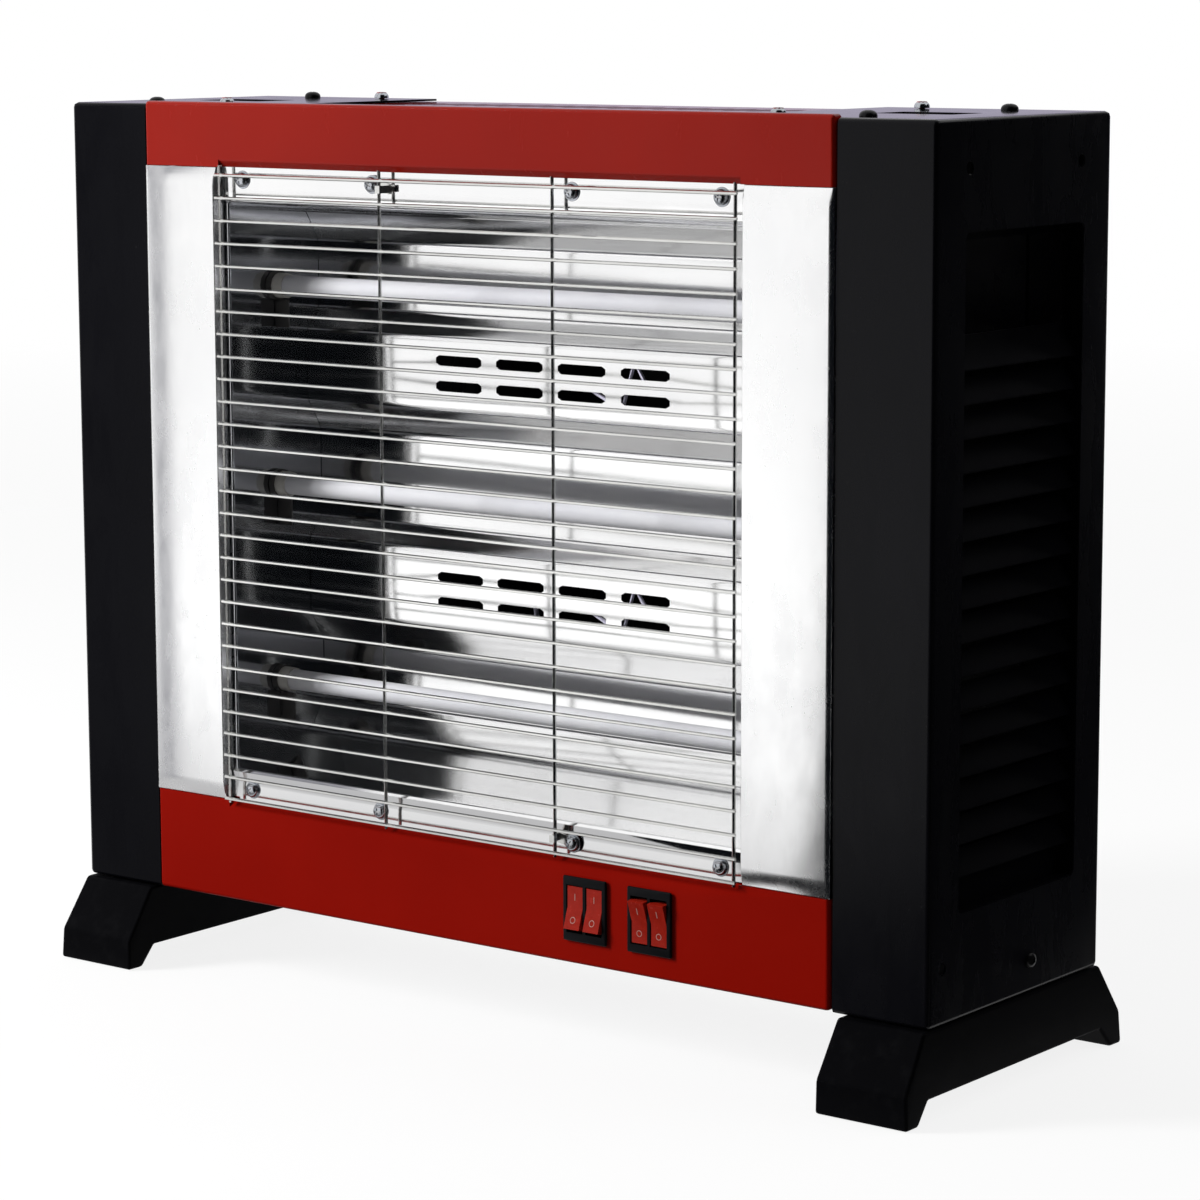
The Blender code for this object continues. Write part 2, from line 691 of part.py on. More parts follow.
def louvre_panel(name, side):
    """Recessed side insert: a shallow tray with sloping slats and a hand hold above them."""
    outer = SIDE - SHEET - GAP
    inner = SIDE - RECESS_DEPTH - SHEET
    half = RECESS_HALF_WIDTH + SHEET
    clear = RECESS_HALF_WIDTH - RECESS_RIM
    mesh, centre = open_block(name, (side * inner, side * outer), (-half, half),
                              (RECESS_LOW - SHEET, RECESS_HIGH + SHEET), [(side, 0, 0)])
    tray = add_part(name, mesh, black_paint, centre)
    add_thickness(tray, SHEET)
    last = LOUVRE_LOWEST + (LOUVRE_COUNT - 1) * LOUVRE_PITCH
    cut(tray, block_guide(name + "_slat_field", (side * (inner - 2 * SHEET), side * (inner + 3 * SHEET)),
                          (-clear, clear), (LOUVRE_LOWEST - 2 * SHEET, last + LOUVRE_RISE)))
    hold = rounded_rectangle((-clear, clear), (level(HAND_HOLD_LOW), level(HAND_HOLD_HIGH)), HAND_HOLD_CORNER)
    hand_hold = outline_mesh(name + "_hand_hold", [hold], 4 * SHEET)
    cut(tray, add_guide(name + "_hand_hold", hand_hold, (side * inner, 0, 0), SIDE_OUTLINE))
    low_x = side * (outer - LOUVRE_FRONT_INSET)
    high_x = side * (inner + SHEET / 2)
    slats = []
    for number in range(LOUVRE_COUNT):
        low = level(LOUVRE_LOWEST + number * LOUVRE_PITCH)
        slats.append([(low_x, low), (low_x, low + LOUVRE_THICKNESS),
                      (high_x, low + LOUVRE_RISE + LOUVRE_THICKNESS), (high_x, low + LOUVRE_RISE)])
    unite(tray, add_guide(name + "_slats", outline_mesh(name + "_slats", slats, 2 * half - SHEET),
                          (0, 0, 0), FRONT_OUTLINE))


def foot(name, side):
    """Moulded foot: toes at front and rear, a shallow arch between them, its outer side flared."""
    toe = BODY_DEPTH / 2 + FOOT_REACH
    top = BODY_DEPTH / 2 + FOOT_TOP_OVERHANG
    heel = toe - FOOT_TOE_LENGTH
    half = [(heel - ARCH_SLOPE, ARCH_HEIGHT), (heel, 0.0), (toe, 0.0),
            (toe - FOOT_KNEE_INSET, FOOT_KNEE_HEIGHT), (top, FOOT_HEIGHT)]
    outline = half + [(-y, z) for y, z in reversed(half)]
    width = COLUMN_FACE - FOOT_INNER_INSET - GAP
    mesh = outline_mesh(name, [outline], width)
    for vert in mesh.vertices:
        if side * vert.co.z > 0:
            vert.co.z += side * FOOT_OUTER_FLARE * (1 - vert.co.y / FOOT_HEIGHT)
    made = add_part(name, mesh, black_foot, (side * (SIDE - GAP - width / 2), 0, 0), SIDE_OUTLINE)
    add_bevel(made, FOOT_EDGE_RADIUS, 2)
    cut(made, foot_counterbores)
    cut(made, foot_screw_holes)


def front_panel(name, upper):
    """Red panel with rounded returns, its window edge turned back as a sloping lip."""
    way = 1 if upper else -1
    edge = WINDOW_HIGH if upper else WINDOW_LOW
    far = BODY_HEIGHT + PANEL_RISE if upper else PANEL_CLEAR
    mesh, centre = open_block(name, (-PANEL_HALF_WIDTH, PANEL_HALF_WIDTH), (PANEL_FRONT, PANEL_BACK),
                              (edge, far), [(0, 1, 0), (0, 0, -way)])
    panel = add_part(name, mesh, red_paint, centre)
    add_bevel(panel, PANEL_RADIUS, 3)
    add_thickness(panel, SHEET)
    fold = edge + way * LIP_HEIGHT
    cut(panel, block_guide(name + "_window_strip", (-LIP_HALF_WIDTH, LIP_HALF_WIDTH),
                           (PANEL_FRONT - SHEET, PANEL_FRONT + 2 * SHEET), (edge - way * SHEET, fold)))
    slant = LIP_SLANT * SHEET
    tip_y = PANEL_FRONT + LIP_REACH
    panel_inside = PANEL_FRONT + SHEET
    tongue = SHEET / 5
    section = [(PANEL_FRONT, fold), (tip_y, edge), (tip_y + slant, edge + way * slant),
               (panel_inside, fold + way * 2 * tongue), (panel_inside - tongue, fold + way * 4 * tongue),
               (PANEL_FRONT + tongue, fold + way * 4 * tongue)]
    lip = outline_mesh(name + "_lip", [[(y, level(height)) for y, height in section]], 2 * LIP_HALF_WIDTH)
    unite(panel, add_guide(name + "_lip", lip, (0, 0, 0), SIDE_OUTLINE))
    return panel


def trim_section():
    """Offsets from the trim's inner edge, each with how far it stands proud of the columns."""
    shoulder = TRIM_WIDTH - TRIM_EDGE_RADIUS
    section = [(0.0, -TRIM_RETURN), (0.0, TRIM_INNER_PROUD - TRIM_SHEET), (TRIM_SHEET, TRIM_INNER_PROUD)]
    for share in (0.5, 1.0):
        section.append((TRIM_CROWN_PLACE * share,
                        TRIM_CROWN_PROUD - (TRIM_CROWN_PROUD - TRIM_INNER_PROUD) * (1 - share) ** 2))
    for share in (0.4, 0.75, 1.0):
        section.append((TRIM_CROWN_PLACE + (shoulder - TRIM_CROWN_PLACE) * share,
                        TRIM_CROWN_PROUD - (TRIM_CROWN_PROUD - TRIM_SHOULDER_PROUD) * share ** 2))
    section += arc((shoulder, TRIM_SHOULDER_PROUD - TRIM_EDGE_RADIUS), TRIM_EDGE_RADIUS, 60, 0, 2)
    section.append((TRIM_WIDTH, -TRIM_RETURN))
    return section


def trim(name, side):
    """Bright strip beside the window, bowed outwards and pinched flat at both ends."""
    low = WINDOW_LOW + GAP
    high = WINDOW_HIGH - GAP
    steps = 3
    heights = [low + TRIM_PINCH * step / steps for step in range(steps + 1)]
    heights += [high - TRIM_PINCH * step / steps for step in range(steps, -1, -1)]
    section = trim_section()
    bm = bmesh.new()
    bmesh.ops.create_grid(bm, x_segments=len(section) - 1, y_segments=len(heights) - 1, size=1.0)
    for vert in bm.verts:
        column = round((vert.co.x + 1) / 2 * (len(section) - 1))
        row = round((vert.co.y + 1) / 2 * (len(heights) - 1))
        offset, proud = section[column]
        height = heights[row]
        ease = min(1.0, (height - low) / TRIM_PINCH, (high - height) / TRIM_PINCH)
        ease = ease * (2 - ease)
        if proud > TRIM_PINCH_PROUD:
            proud = TRIM_PINCH_PROUD + (proud - TRIM_PINCH_PROUD) * ease
        vert.co = (side * (TRIM_INNER + offset), FRONT - proud, level(height))
    bmesh.ops.recalc_face_normals(bm, faces=bm.faces)
    if sum(face.normal.y * face.calc_area() for face in bm.faces) > 0:
        bmesh.ops.reverse_faces(bm, faces=bm.faces)
    strip = add_part(name, mesh_from(name, bm, smooth=True), bright_trim)
    add_thickness(strip, TRIM_SHEET)


def chassis_wall(name, side):
    """Inner wall beside the reflector, flanged behind the trim and at its rear, with top tabs."""
    front = FRONT + WALL_FRONT
    back = FRONT + WALL_BACK
    plan = [(side * (TRIM_OUTER - 2 * SHEET), front), (side * WALL_X, front), (side * WALL_X, back),
            (side * (WALL_X + WALL_REAR_FLANGE), back)]
    if side > 0:
        plan.reverse()
    wall = add_part(name, upright_sheet(name, plan, (BASE_HIGH + GAP, WALL_HIGH)), polished_steel)
    add_bevel(wall, WALL_BEND, 2)
    add_thickness(wall, WALL_SHEET)
    near_x = side * (WALL_X + WALL_SHEET / 4)
    strip_x = near_x + side * WALL_TOP_TAB
    far_x = side * (SIDE - TOP_DARK_INSET + 2 * TOP_DARK_RADIUS)
    front_y = FRONT + WALL_FRONT + WALL_SHEET / 4
    rear_y = TOP_SCREW_Y + WALL_TAB_OVERRUN
    top = (WALL_HIGH - WALL_SHEET, WALL_HIGH)
    unite(wall, block_guide(name + "_strip", (near_x, strip_x), (front_y, rear_y), top))
    unite(wall, block_guide(name + "_front_tab", (near_x, far_x), (front_y, front_y + WALL_TOP_TAB), top))
    unite(wall, block_guide(name + "_rear_tab", (near_x, far_x), (rear_y - WALL_TOP_TAB, rear_y), top))
    cut(wall, rods_guide(name + "_cap_holes",
                         [((side * (WALL_X - CAP_FLOOR), TUBE_Y, level(height)),
                           (side * (WALL_X + CAP_FLOOR), TUBE_Y, level(height))) for height in TUBE_HEIGHTS],
                         CAP_NECK_RADIUS + GAP, ROUND_HOLE_SIDES))
    cut(wall, top_screw_holes)


def reflector_section():
    """Depth and height of the reflector's face from its top flange down to its bottom flange."""
    ceiling_back = WINDOW_HIGH - CEILING_BACK_DROP
    section = [(FLANGE_DEPTH, WINDOW_HIGH + FLANGE_TUCK), (FLANGE_DEPTH, WINDOW_HIGH - CEILING_FRONT_DROP),
               (LAND_DEPTH, ceiling_back)]
    spans = ((ceiling_back, UPPER_LAND_TOP, UPPER_LAND_BOTTOM),
             (UPPER_LAND_BOTTOM, LOWER_LAND_TOP, LOWER_LAND_BOTTOM))
    for above, land_top, land_bottom in spans:
        section += [(TROUGH_DEPTH, above - TROUGH_UPPER_SLOPE), (TROUGH_DEPTH, land_top + TROUGH_LOWER_SLOPE),
                    (LAND_DEPTH, land_top), (LAND_DEPTH, land_bottom)]
    section += [(TROUGH_DEPTH, LOWER_LAND_BOTTOM - TROUGH_UPPER_SLOPE),
                (TROUGH_DEPTH, WINDOW_LOW + FLOOR_BACK_RISE), (LAND_DEPTH, WINDOW_LOW + FLOOR_BEND_RISE),
                (FLOOR_FRONT_DEPTH, WINDOW_LOW + FLOOR_FRONT_RISE),
                (LIP_BEND_DEPTH, WINDOW_LOW + LIP_BEND_RISE), (FLANGE_DEPTH, WINDOW_LOW + LOWER_KNEE_RISE),
                (FLANGE_DEPTH, WINDOW_LOW - FLANGE_TUCK)]
    return section


def make_reflector():
    """Polished sheet folded into three troughs, with flat lands that carry rows of slots."""
    mesh = folded_sheet("reflector", [(FRONT + depth, height) for depth, height in reflector_section()],
                        REFLECTOR_HALF_WIDTH)
    made = add_part("reflector", mesh, polished_steel)
    add_bevel(made, REFLECTOR_BEND, 1, 8)
    add_thickness(made, REFLECTOR_SHEET)
    outlines = []
    for land_top, land_bottom in ((UPPER_LAND_TOP, UPPER_LAND_BOTTOM), (LOWER_LAND_TOP, LOWER_LAND_BOTTOM)):
        middle = level((land_top + land_bottom) / 2)
        rows = 1 + int((land_top - land_bottom - 2 * SLOT_MARGIN - SLOT_HEIGHT) / SLOT_ROW_PITCH)
        for row in range(rows):
            z = middle + (row - (rows - 1) / 2) * SLOT_ROW_PITCH
            for column in range(SLOT_COLUMNS):
                x = (column - (SLOT_COLUMNS - 1) / 2) * SLOT_PITCH
                outlines.append(obround((x, z), SLOT_LENGTH, SLOT_HEIGHT, steps=3))
    slots = outline_mesh("reflector_slots", outlines, 4 * SHEET)
    cut(made, add_guide("reflector_slots", slots, (0, FRONT + LAND_DEPTH, 0), FRONT_OUTLINE))
    cut(made, flange_screw_holes)


def crossbar(name, upper):
    """Angle bar between the inner walls that backs one of the reflector's flanges."""
    y = FRONT + FLANGE_DEPTH + REFLECTOR_SHEET + GAP
    edge = COVER_LOW - GAP if upper else WINDOW_LOW + LOWER_KNEE_RISE - SHEET
    fold = WINDOW_HIGH - 2 * UPPER_SCREW_DROP if upper else WINDOW_LOW - LOWER_SCREW_RISE
    section = [(y, edge), (y, fold), (y + CROSSBAR_LEG, fold)]
    bar = add_part(name, folded_sheet(name, section, REFLECTOR_HALF_WIDTH), plain_steel)
    add_thickness(bar, SHEET)
    seat = FRONT + FLANGE_DEPTH - GAP
    clipped_seat = seat - CLIP_SHEET - GAP
    clipped_x = FLANGE_SCREW_XS[1] if upper else FLANGE_SCREW_XS[2]
    z = level(UPPER_SCREW_HEIGHT if upper else LOWER_SCREW_HEIGHT)
    places = [(x, clipped_seat if x == clipped_x else seat, z) for x in FLANGE_SCREW_XS]
    flange_screw = pan_screw(name + "_screw", PAN_RADIUS, PAN_HEIGHT, FLANGE_SCREW_LENGTH)
    add_screws(bar, name + "_screws", flange_screw, places, (0, -1, 0))


def make_wire_guard():
    """Cross wires welded to the front of four uprights."""
    half = TRIM_INNER - WIRE_END_MARGIN
    top = WINDOW_HIGH - WIRE_TOP_DROP
    bottom = WINDOW_LOW + WIRE_BOTTOM_RISE
    wires = bmesh.new()
    for number in range(WIRE_COUNT):
        z = level(top + (bottom - top) * number / (WIRE_COUNT - 1))
        add_rod(wires, (-half, WIRE_Y, z), (half, WIRE_Y, z), WIRE_RADIUS, WIRE_SIDES)
    guard = add_part("wire_guard", mesh_from("wire_guard", wires, smooth=True), guard_steel)
    uprights = bmesh.new()
    outer = half - UPRIGHT_OUTER_INSET
    for x in (-outer, -UPRIGHT_INNER, UPRIGHT_INNER, outer):
        add_rod(uprights, (x, UPRIGHT_Y, level(WINDOW_LOW - UPRIGHT_OVERRUN)),
                (x, UPRIGHT_Y, level(WINDOW_HIGH + UPRIGHT_OVERRUN)), WIRE_RADIUS, WIRE_SIDES)
    unite(guard, add_guide("guard_uprights", mesh_from("guard_uprights", uprights)))


def guard_clip(name, side, height, way):
    """Strap under a flange screw whose end hooks forward over an inner upright of the guard."""
    screw_x = FLANGE_SCREW_XS[2]
    run = screw_x - UPRIGHT_INNER + CLIP_OVERRUN
    strap_y = FRONT + FLANGE_DEPTH - GAP - CLIP_SHEET / 2
    centre = (side * (screw_x - run / 2), level(height - way * CLIP_DROP / 2))
    strap = obround(centre, math.hypot(run, CLIP_DROP) + CLIP_WIDTH, CLIP_WIDTH,
                    side * way * math.atan2(CLIP_DROP, run), 4)
    clip = add_part(name, outline_mesh(name, [strap], CLIP_SHEET), guard_steel, (0, strap_y, 0), FRONT_OUTLINE)
    near_x = side * (UPRIGHT_INNER - WIRE_RADIUS - GAP)
    hook_x = side * (UPRIGHT_INNER + WIRE_RADIUS)
    hook_front = UPRIGHT_Y - WIRE_RADIUS - GAP - CLIP_SHEET
    foot_z = height - way * CLIP_DROP
    hook_z = (foot_z - HOOK_HEIGHT / 2, foot_z + HOOK_HEIGHT / 2)
    unite(clip, block_guide(name + "_riser", (near_x, near_x - side * CLIP_SHEET),
                            (hook_front, strap_y), hook_z))
    unite(clip, block_guide(name + "_hook", (near_x - side * CLIP_SHEET / 2, hook_x),
                            (hook_front, hook_front + CLIP_SHEET), hook_z))
    cut(clip, flange_screw_holes)


def quartz_tube(name, height):
    inner = TUBE_RADIUS - TUBE_WALL
    profile = [(TUBE_RADIUS, TUBE_END), (TUBE_RADIUS, -TUBE_END), (inner, -TUBE_END), (inner, TUBE_END)]
    add_part(name, revolved(name, profile, 16), frosted_quartz, (0, TUBE_Y, level(height)), LOCAL_Z_TO_X)


def coil_points(height):
    """Straight lead, helix and straight lead of one heating coil."""
    half = TUBE_END - COIL_END
    lead = WALL_X + COIL_LEAD
    steps = COIL_CURLS * COIL_POINTS
    points = [(-lead, TUBE_Y, level(height)), (-half - COIL_RUNUP, TUBE_Y, level(height))]
    for step in range(steps + 1):
        turn = 2 * math.pi * step / COIL_POINTS
        points.append((-half + 2 * half * step / steps, TUBE_Y + COIL_RADIUS * math.sin(turn),
                       level(height) + COIL_RADIUS * math.cos(turn)))
    points += [(half + COIL_RUNUP, TUBE_Y, level(height)), (lead, TUBE_Y, level(height))]
    return points


def least_self_gap(points):
    """Least clear distance between stretches of a wire that lie half a curl or more apart."""
    apart = COIL_POINTS // 2 + 1
    least = min((Vector(points[later]) - Vector(points[first])).length
                for first in range(len(points)) for later in range(first + apart, len(points)))
    return least - 2 * COIL_WIRE


def heating_coil(name, height):
    points = coil_points(height)
    add_part(name, wire_mesh(name, points, COIL_WIRE, 1), heating_wire)
    print(name, "least gap to itself in mm:", round(least_self_gap(points) * 1000, 2))


def tube_cap(name, side, height):
    """Ceramic cap over a tube's end, its neck passing out through the inner wall."""
    bore = TUBE_RADIUS + GAP
    wire_hole = COIL_WIRE + GAP
    profile = [(CAP_RADIUS, CAP_LENGTH), (CAP_RADIUS, 0.0), (CAP_NECK_RADIUS, 0.0),
               (CAP_NECK_RADIUS, -CAP_NECK_LENGTH), (wire_hole, -CAP_NECK_LENGTH), (wire_hole, CAP_FLOOR),
               (bore, CAP_FLOOR), (bore, CAP_LENGTH)]
    add_part(name, revolved(name, profile, 10), ceramic, (side * (WALL_X - GAP), TUBE_Y, level(height)),
             (0, -side * math.pi / 2, 0))


def tube_bracket(name, side, height):
    """Ring round a cap on an upright plate, with a tab that lies against the inner wall."""
    inner = CAP_RADIUS + GAP
    outer = inner + RING_THICKNESS
    seat_x = side * (WALL_X - GAP)
    profile = [(outer, RING_WIDTH), (outer, 0.0), (inner, 0.0), (inner, RING_WIDTH)]
    bracket = add_part(name, revolved(name, profile, 12), bracket_steel, (seat_x, TUBE_Y, level(height)),
                       (0, -side * math.pi / 2, 0))
    low = height - BRACKET_DROP
    high = height - inner - RING_THICKNESS / 2
    unite(bracket, block_guide(name + "_stem", (seat_x, seat_x - side * CAP_LENGTH),
                               (TUBE_Y - BRACKET_SHEET / 2, TUBE_Y + BRACKET_SHEET / 2), (low, high)))
    unite(bracket, block_guide(name + "_tab", (seat_x, seat_x - side * BRACKET_SHEET),
                               (TUBE_Y, TUBE_Y + BRACKET_TAB), (low, high - 2 * BRACKET_SHEET)))


def switch_housing(name, x):
    """Bezel and body of a double rocker switch: two pockets, pivot bores and rear tags."""
    bezel_back = PANEL_FRONT - GAP
    body_back = PANEL_FRONT + HOUSING_DEPTH
    housing = block_part(name, black_plastic, (x - BEZEL_WIDTH / 2, x + BEZEL_WIDTH / 2),
                         (BEZEL_FRONT, bezel_back),
                         (SWITCH_HEIGHT - BEZEL_HEIGHT / 2, SWITCH_HEIGHT + BEZEL_HEIGHT / 2))
    add_bevel(housing, BEZEL_EDGE, 1)
    unite(housing, block_guide(name + "_body", (x - HOUSING_WIDTH / 2, x + HOUSING_WIDTH / 2),
                               (bezel_back - SHEET / 2, body_back),
                               (SWITCH_HEIGHT - HOUSING_HEIGHT / 2, SWITCH_HEIGHT + HOUSING_HEIGHT / 2)))
    for way in (-1, 1):
        middle = x + way * (ROCKER_DIVIDER + POCKET_WIDTH) / 2
        label = name + ("_left" if way < 0 else "_right")
        cut(housing, block_guide(label + "_pocket", (middle - POCKET_WIDTH / 2, middle + POCKET_WIDTH / 2),
                                 (BEZEL_FRONT - SHEET, BEZEL_FRONT + POCKET_DEPTH),
                                 (SWITCH_HEIGHT - POCKET_HALF_HEIGHT, SWITCH_HEIGHT + POCKET_HALF_HEIGHT)))
        unite(housing, block_guide(label + "_tag", (middle - TAG_SHEET / 2, middle + TAG_SHEET / 2),
                                   (body_back - SHEET / 2, body_back + TAG_LENGTH),
                                   (SWITCH_HEIGHT - TAG_HEIGHT / 2, SWITCH_HEIGHT + TAG_HEIGHT / 2)))
    reach = HOUSING_WIDTH / 2 + SHEET
    z = level(SWITCH_HEIGHT)
    cut(housing, rods_guide(name + "_pivot_bore", [((x - reach, PIVOT_Y, z), (x + reach, PIVOT_Y, z))],
                            PIVOT_RADIUS + PLAY))


def rocker(name, x, tilt):
    """Rocker with a dished face on two short pins; its origin is on the pivot."""
    end = ROCKER_HALF_HEIGHT
    half = [(-ROCKER_FACE, end), (-ROCKER_FACE + ROCKER_EDGE, end + ROCKER_END_DRAFT),
            (ROCKER_BACK * ROCKER_WAIST_DEPTH, end - ROCKER_WAIST), (ROCKER_BACK, end * ROCKER_BACK_HEIGHT)]
    outline = [(-ROCKER_FACE + ROCKER_DIP, 0.0)] + half + [(y, -z) for y, z in reversed(half)]
    mesh = outline_mesh(name, [outline], ROCKER_WIDTH)
    mesh.transform(Euler(SIDE_OUTLINE).to_matrix().to_4x4())
    z = level(SWITCH_HEIGHT)
    button = add_part(name, mesh, red_lens, (x, PIVOT_Y, z), (tilt, 0, 0))
    reach = ROCKER_WIDTH / 2 + PLAY + PIVOT_REACH
    unite(button, rods_guide(name + "_pins", [((x - reach, PIVOT_Y, z), (x + reach, PIVOT_Y, z))],
                             PIVOT_RADIUS))


def make_top_cover():
    """Vented cover under the end covers' flanges, turned down at front and rear."""
    front = PANEL_FRONT + SHEET + GAP
    rear = BACK_PANEL_Y - GAP
    low = COVER_HIGH - COVER_FRONT_FLANGE
    section = [(rear, low), (rear, COVER_HIGH), (front, COVER_HIGH), (front, low)]
    cover = add_part("top_cover", folded_sheet("top_cover", section, COVER_HALF_WIDTH), red_paint)
    add_bevel(cover, COVER_BEND, 2)
    add_thickness(cover, SHEET)
    slots = []
    for number in range(VENT_COUNT):
        x = (number - (VENT_COUNT - 1) / 2) * VENT_PITCH
        slots.append(obround((x, -VENT_ROW_Y), VENT_LENGTH, VENT_WIDTH, math.radians(135), 2))
        slots.append(obround((x, VENT_ROW_Y), VENT_LENGTH, VENT_WIDTH, math.radians(45), 2))
    cut(cover, add_guide("top_vents", outline_mesh("top_vents", slots, 4 * SHEET), (0, 0, level(COVER_HIGH))))
    bright_screw = pan_screw("bright_top_screw", TOP_BRIGHT_RADIUS, TOP_BRIGHT_HEIGHT, SHORT_SCREW_LENGTH)
    add_screws(cover, "bright_top_screws", bright_screw,
               [(x, y, level(BODY_HEIGHT + GAP)) for x, y in bright_places], (0, 0, 1))


def make_back_panel():
    half = COLUMN_INNER + BACK_OVERLAP
    panel = block_part("back_panel", black_paint, (-half, half), (BACK_PANEL_Y, BACK_PANEL_FACE),
                       (BEND_RADIUS + GAP, BODY_HEIGHT - BEND_RADIUS - GAP))
    slots = []
    for height in BACK_VENT_HEIGHTS:
        for column in range(BACK_VENT_COLUMNS):
            x = (column - (BACK_VENT_COLUMNS - 1) / 2) * BACK_VENT_PITCH
            slots.append(obround((x, level(height)), BACK_VENT_LENGTH, BACK_VENT_WIDTH, steps=2))
    vents = outline_mesh("back_vents", slots, 4 * SHEET)
    cut(panel, add_guide("back_vents", vents, (0, BACK_PANEL_FACE, 0), FRONT_OUTLINE))
    rear_screw = pan_screw("rear_screw", PAN_RADIUS, PAN_HEIGHT, SHORT_SCREW_LENGTH, False)
    add_screws(panel, "rear_screws", rear_screw,
               [(x, REAR + GAP, level(height)) for x, height in rear_places], (0, 1, 0))
    z = level(GLAND_HEIGHT)
    cut(panel, rods_guide("gland_hole", [((GLAND_X, BACK_PANEL_Y - SHEET, z), (GLAND_X, REAR, z))],
                          GLAND_NECK + GAP, ROUND_HOLE_SIDES))


def make_base_plate():
    half = COLUMN_INNER + BACK_OVERLAP
    plate = block_part("base_plate", plain_steel, (-half, half), (PANEL_BACK + GAP, BACK_PANEL_Y - GAP),
                       (BASE_LOW, BASE_HIGH))
    slots = []
    for column in range(BACK_VENT_COLUMNS):
        x = (column - (BACK_VENT_COLUMNS - 1) / 2) * BACK_VENT_PITCH
        slots.append(obround((x, BASE_VENT_Y), BACK_VENT_LENGTH, BACK_VENT_WIDTH, steps=2))
    cut(plate, add_guide("base_vents", outline_mesh("base_vents", slots, 4 * SHEET), (0, 0, level(BASE_HIGH))))


def make_cord_gland():
    """Rubber gland in the back panel, with an open bore."""
    profile = [(GLAND_RADIUS, GLAND_FLANGE), (GLAND_RADIUS, 0.0), (GLAND_NECK, 0.0),
               (GLAND_NECK, -GLAND_REACH), (GLAND_BORE, -GLAND_REACH), (GLAND_BORE, GLAND_FLANGE)]
    add_part("cord_gland", revolved("cord_gland", profile, 12), rubber,
             (GLAND_X, BACK_PANEL_FACE + GAP, level(GLAND_HEIGHT)), LOCAL_Z_TO_BACK)


def make_thermal_cutout():
    """Round cutout against the back of the middle trough, with two tags."""
    height = MIDDLE_TUBE
    seat = FRONT + TROUGH_DEPTH + REFLECTOR_SHEET + GAP
    profile = [(0.0, CUTOUT_HEIGHT), (CUTOUT_RADIUS, CUTOUT_HEIGHT), (CUTOUT_RADIUS, SHEET),
               (CUTOUT_FLANGE, SHEET), (CUTOUT_FLANGE, 0.0), (0.0, 0.0)]
    made = add_part("thermal_cutout", revolved("thermal_cutout", profile, 12, closed=False), plain_steel,
                    (CUTOUT_X, seat, level(height)), LOCAL_Z_TO_BACK)
    for way in (-1, 1):
        x = CUTOUT_X + way * CUTOUT_RADIUS / 2
        unite(made, block_guide("cutout_tag_left" if way < 0 else "cutout_tag_right",
                                (x - TAG_SHEET / 2, x + TAG_SHEET / 2),
                                (seat + CUTOUT_HEIGHT - SHEET, seat + CUTOUT_HEIGHT + TAG_LENGTH),
                                (height - TAG_HEIGHT / 2, height + TAG_HEIGHT / 2)))


def make_terminal_block():
    """Nylon block on the base plate with raised wire ways."""
    low = BASE_HIGH + GAP
    outline = rectangle((-BLOCK_HALF_DEPTH, BLOCK_HALF_DEPTH), (0.0, BLOCK_BASE))
    block_mesh = outline_mesh("terminal_block", [outline], BLOCK_LENGTH)
    made = add_part("terminal_block", block_mesh, white_nylon, (BLOCK_X, BLOCK_Y, level(low)), SIDE_OUTLINE)
    for number in range(WIRE_WAY_COUNT):
        x = BLOCK_X + (number - 1) * BLOCK_LENGTH / WIRE_WAY_COUNT
        unite(made, block_guide("wire_way_" + str(number + 1),
                                (x - WIRE_WAY_HALF_WIDTH, x + WIRE_WAY_HALF_WIDTH),
                                (BLOCK_Y - WIRE_WAY_HALF_DEPTH, BLOCK_Y + WIRE_WAY_HALF_DEPTH),
                                (low + BLOCK_BASE - SHEET, low + WIRE_WAY_TOP)))


def make_tip_over_switch():
    """Closed tip-over switch on the base plate, with a mounting foot and two tags."""
    low = BASE_HIGH + GAP
    high = low + TIP_BODY_HEIGHT
    made = block_part("tip_over_switch", black_plastic,
                      (TIP_SWITCH_X - TIP_HALF_WIDTH, TIP_SWITCH_X + TIP_HALF_WIDTH),
                      (TIP_SWITCH_Y - TIP_HALF_DEPTH, TIP_SWITCH_Y + TIP_HALF_DEPTH), (low, high))
    add_bevel(made, TIP_BODY_EDGE, 1)
    unite(made, block_guide("tip_over_foot",
                            (TIP_SWITCH_X - TIP_FOOT_HALF_WIDTH, TIP_SWITCH_X + TIP_FOOT_HALF_WIDTH),
                            (TIP_SWITCH_Y - TIP_FOOT_HALF_DEPTH, TIP_SWITCH_Y + TIP_FOOT_HALF_DEPTH),
                            (low + SHEET / 10, low + TIP_FOOT_HEIGHT)))
    for way in (-1, 1):
        x = TIP_SWITCH_X + way * TIP_TAG_OFFSET
        unite(made, block_guide("tip_over_tag_left" if way < 0 else "tip_over_tag_right",
                                (x - TAG_SHEET / 2, x + TAG_SHEET / 2),
                                (TIP_SWITCH_Y - TAG_HEIGHT / 2, TIP_SWITCH_Y + TAG_HEIGHT / 2),
                                (high - SHEET, high - SHEET + TAG_LENGTH)))


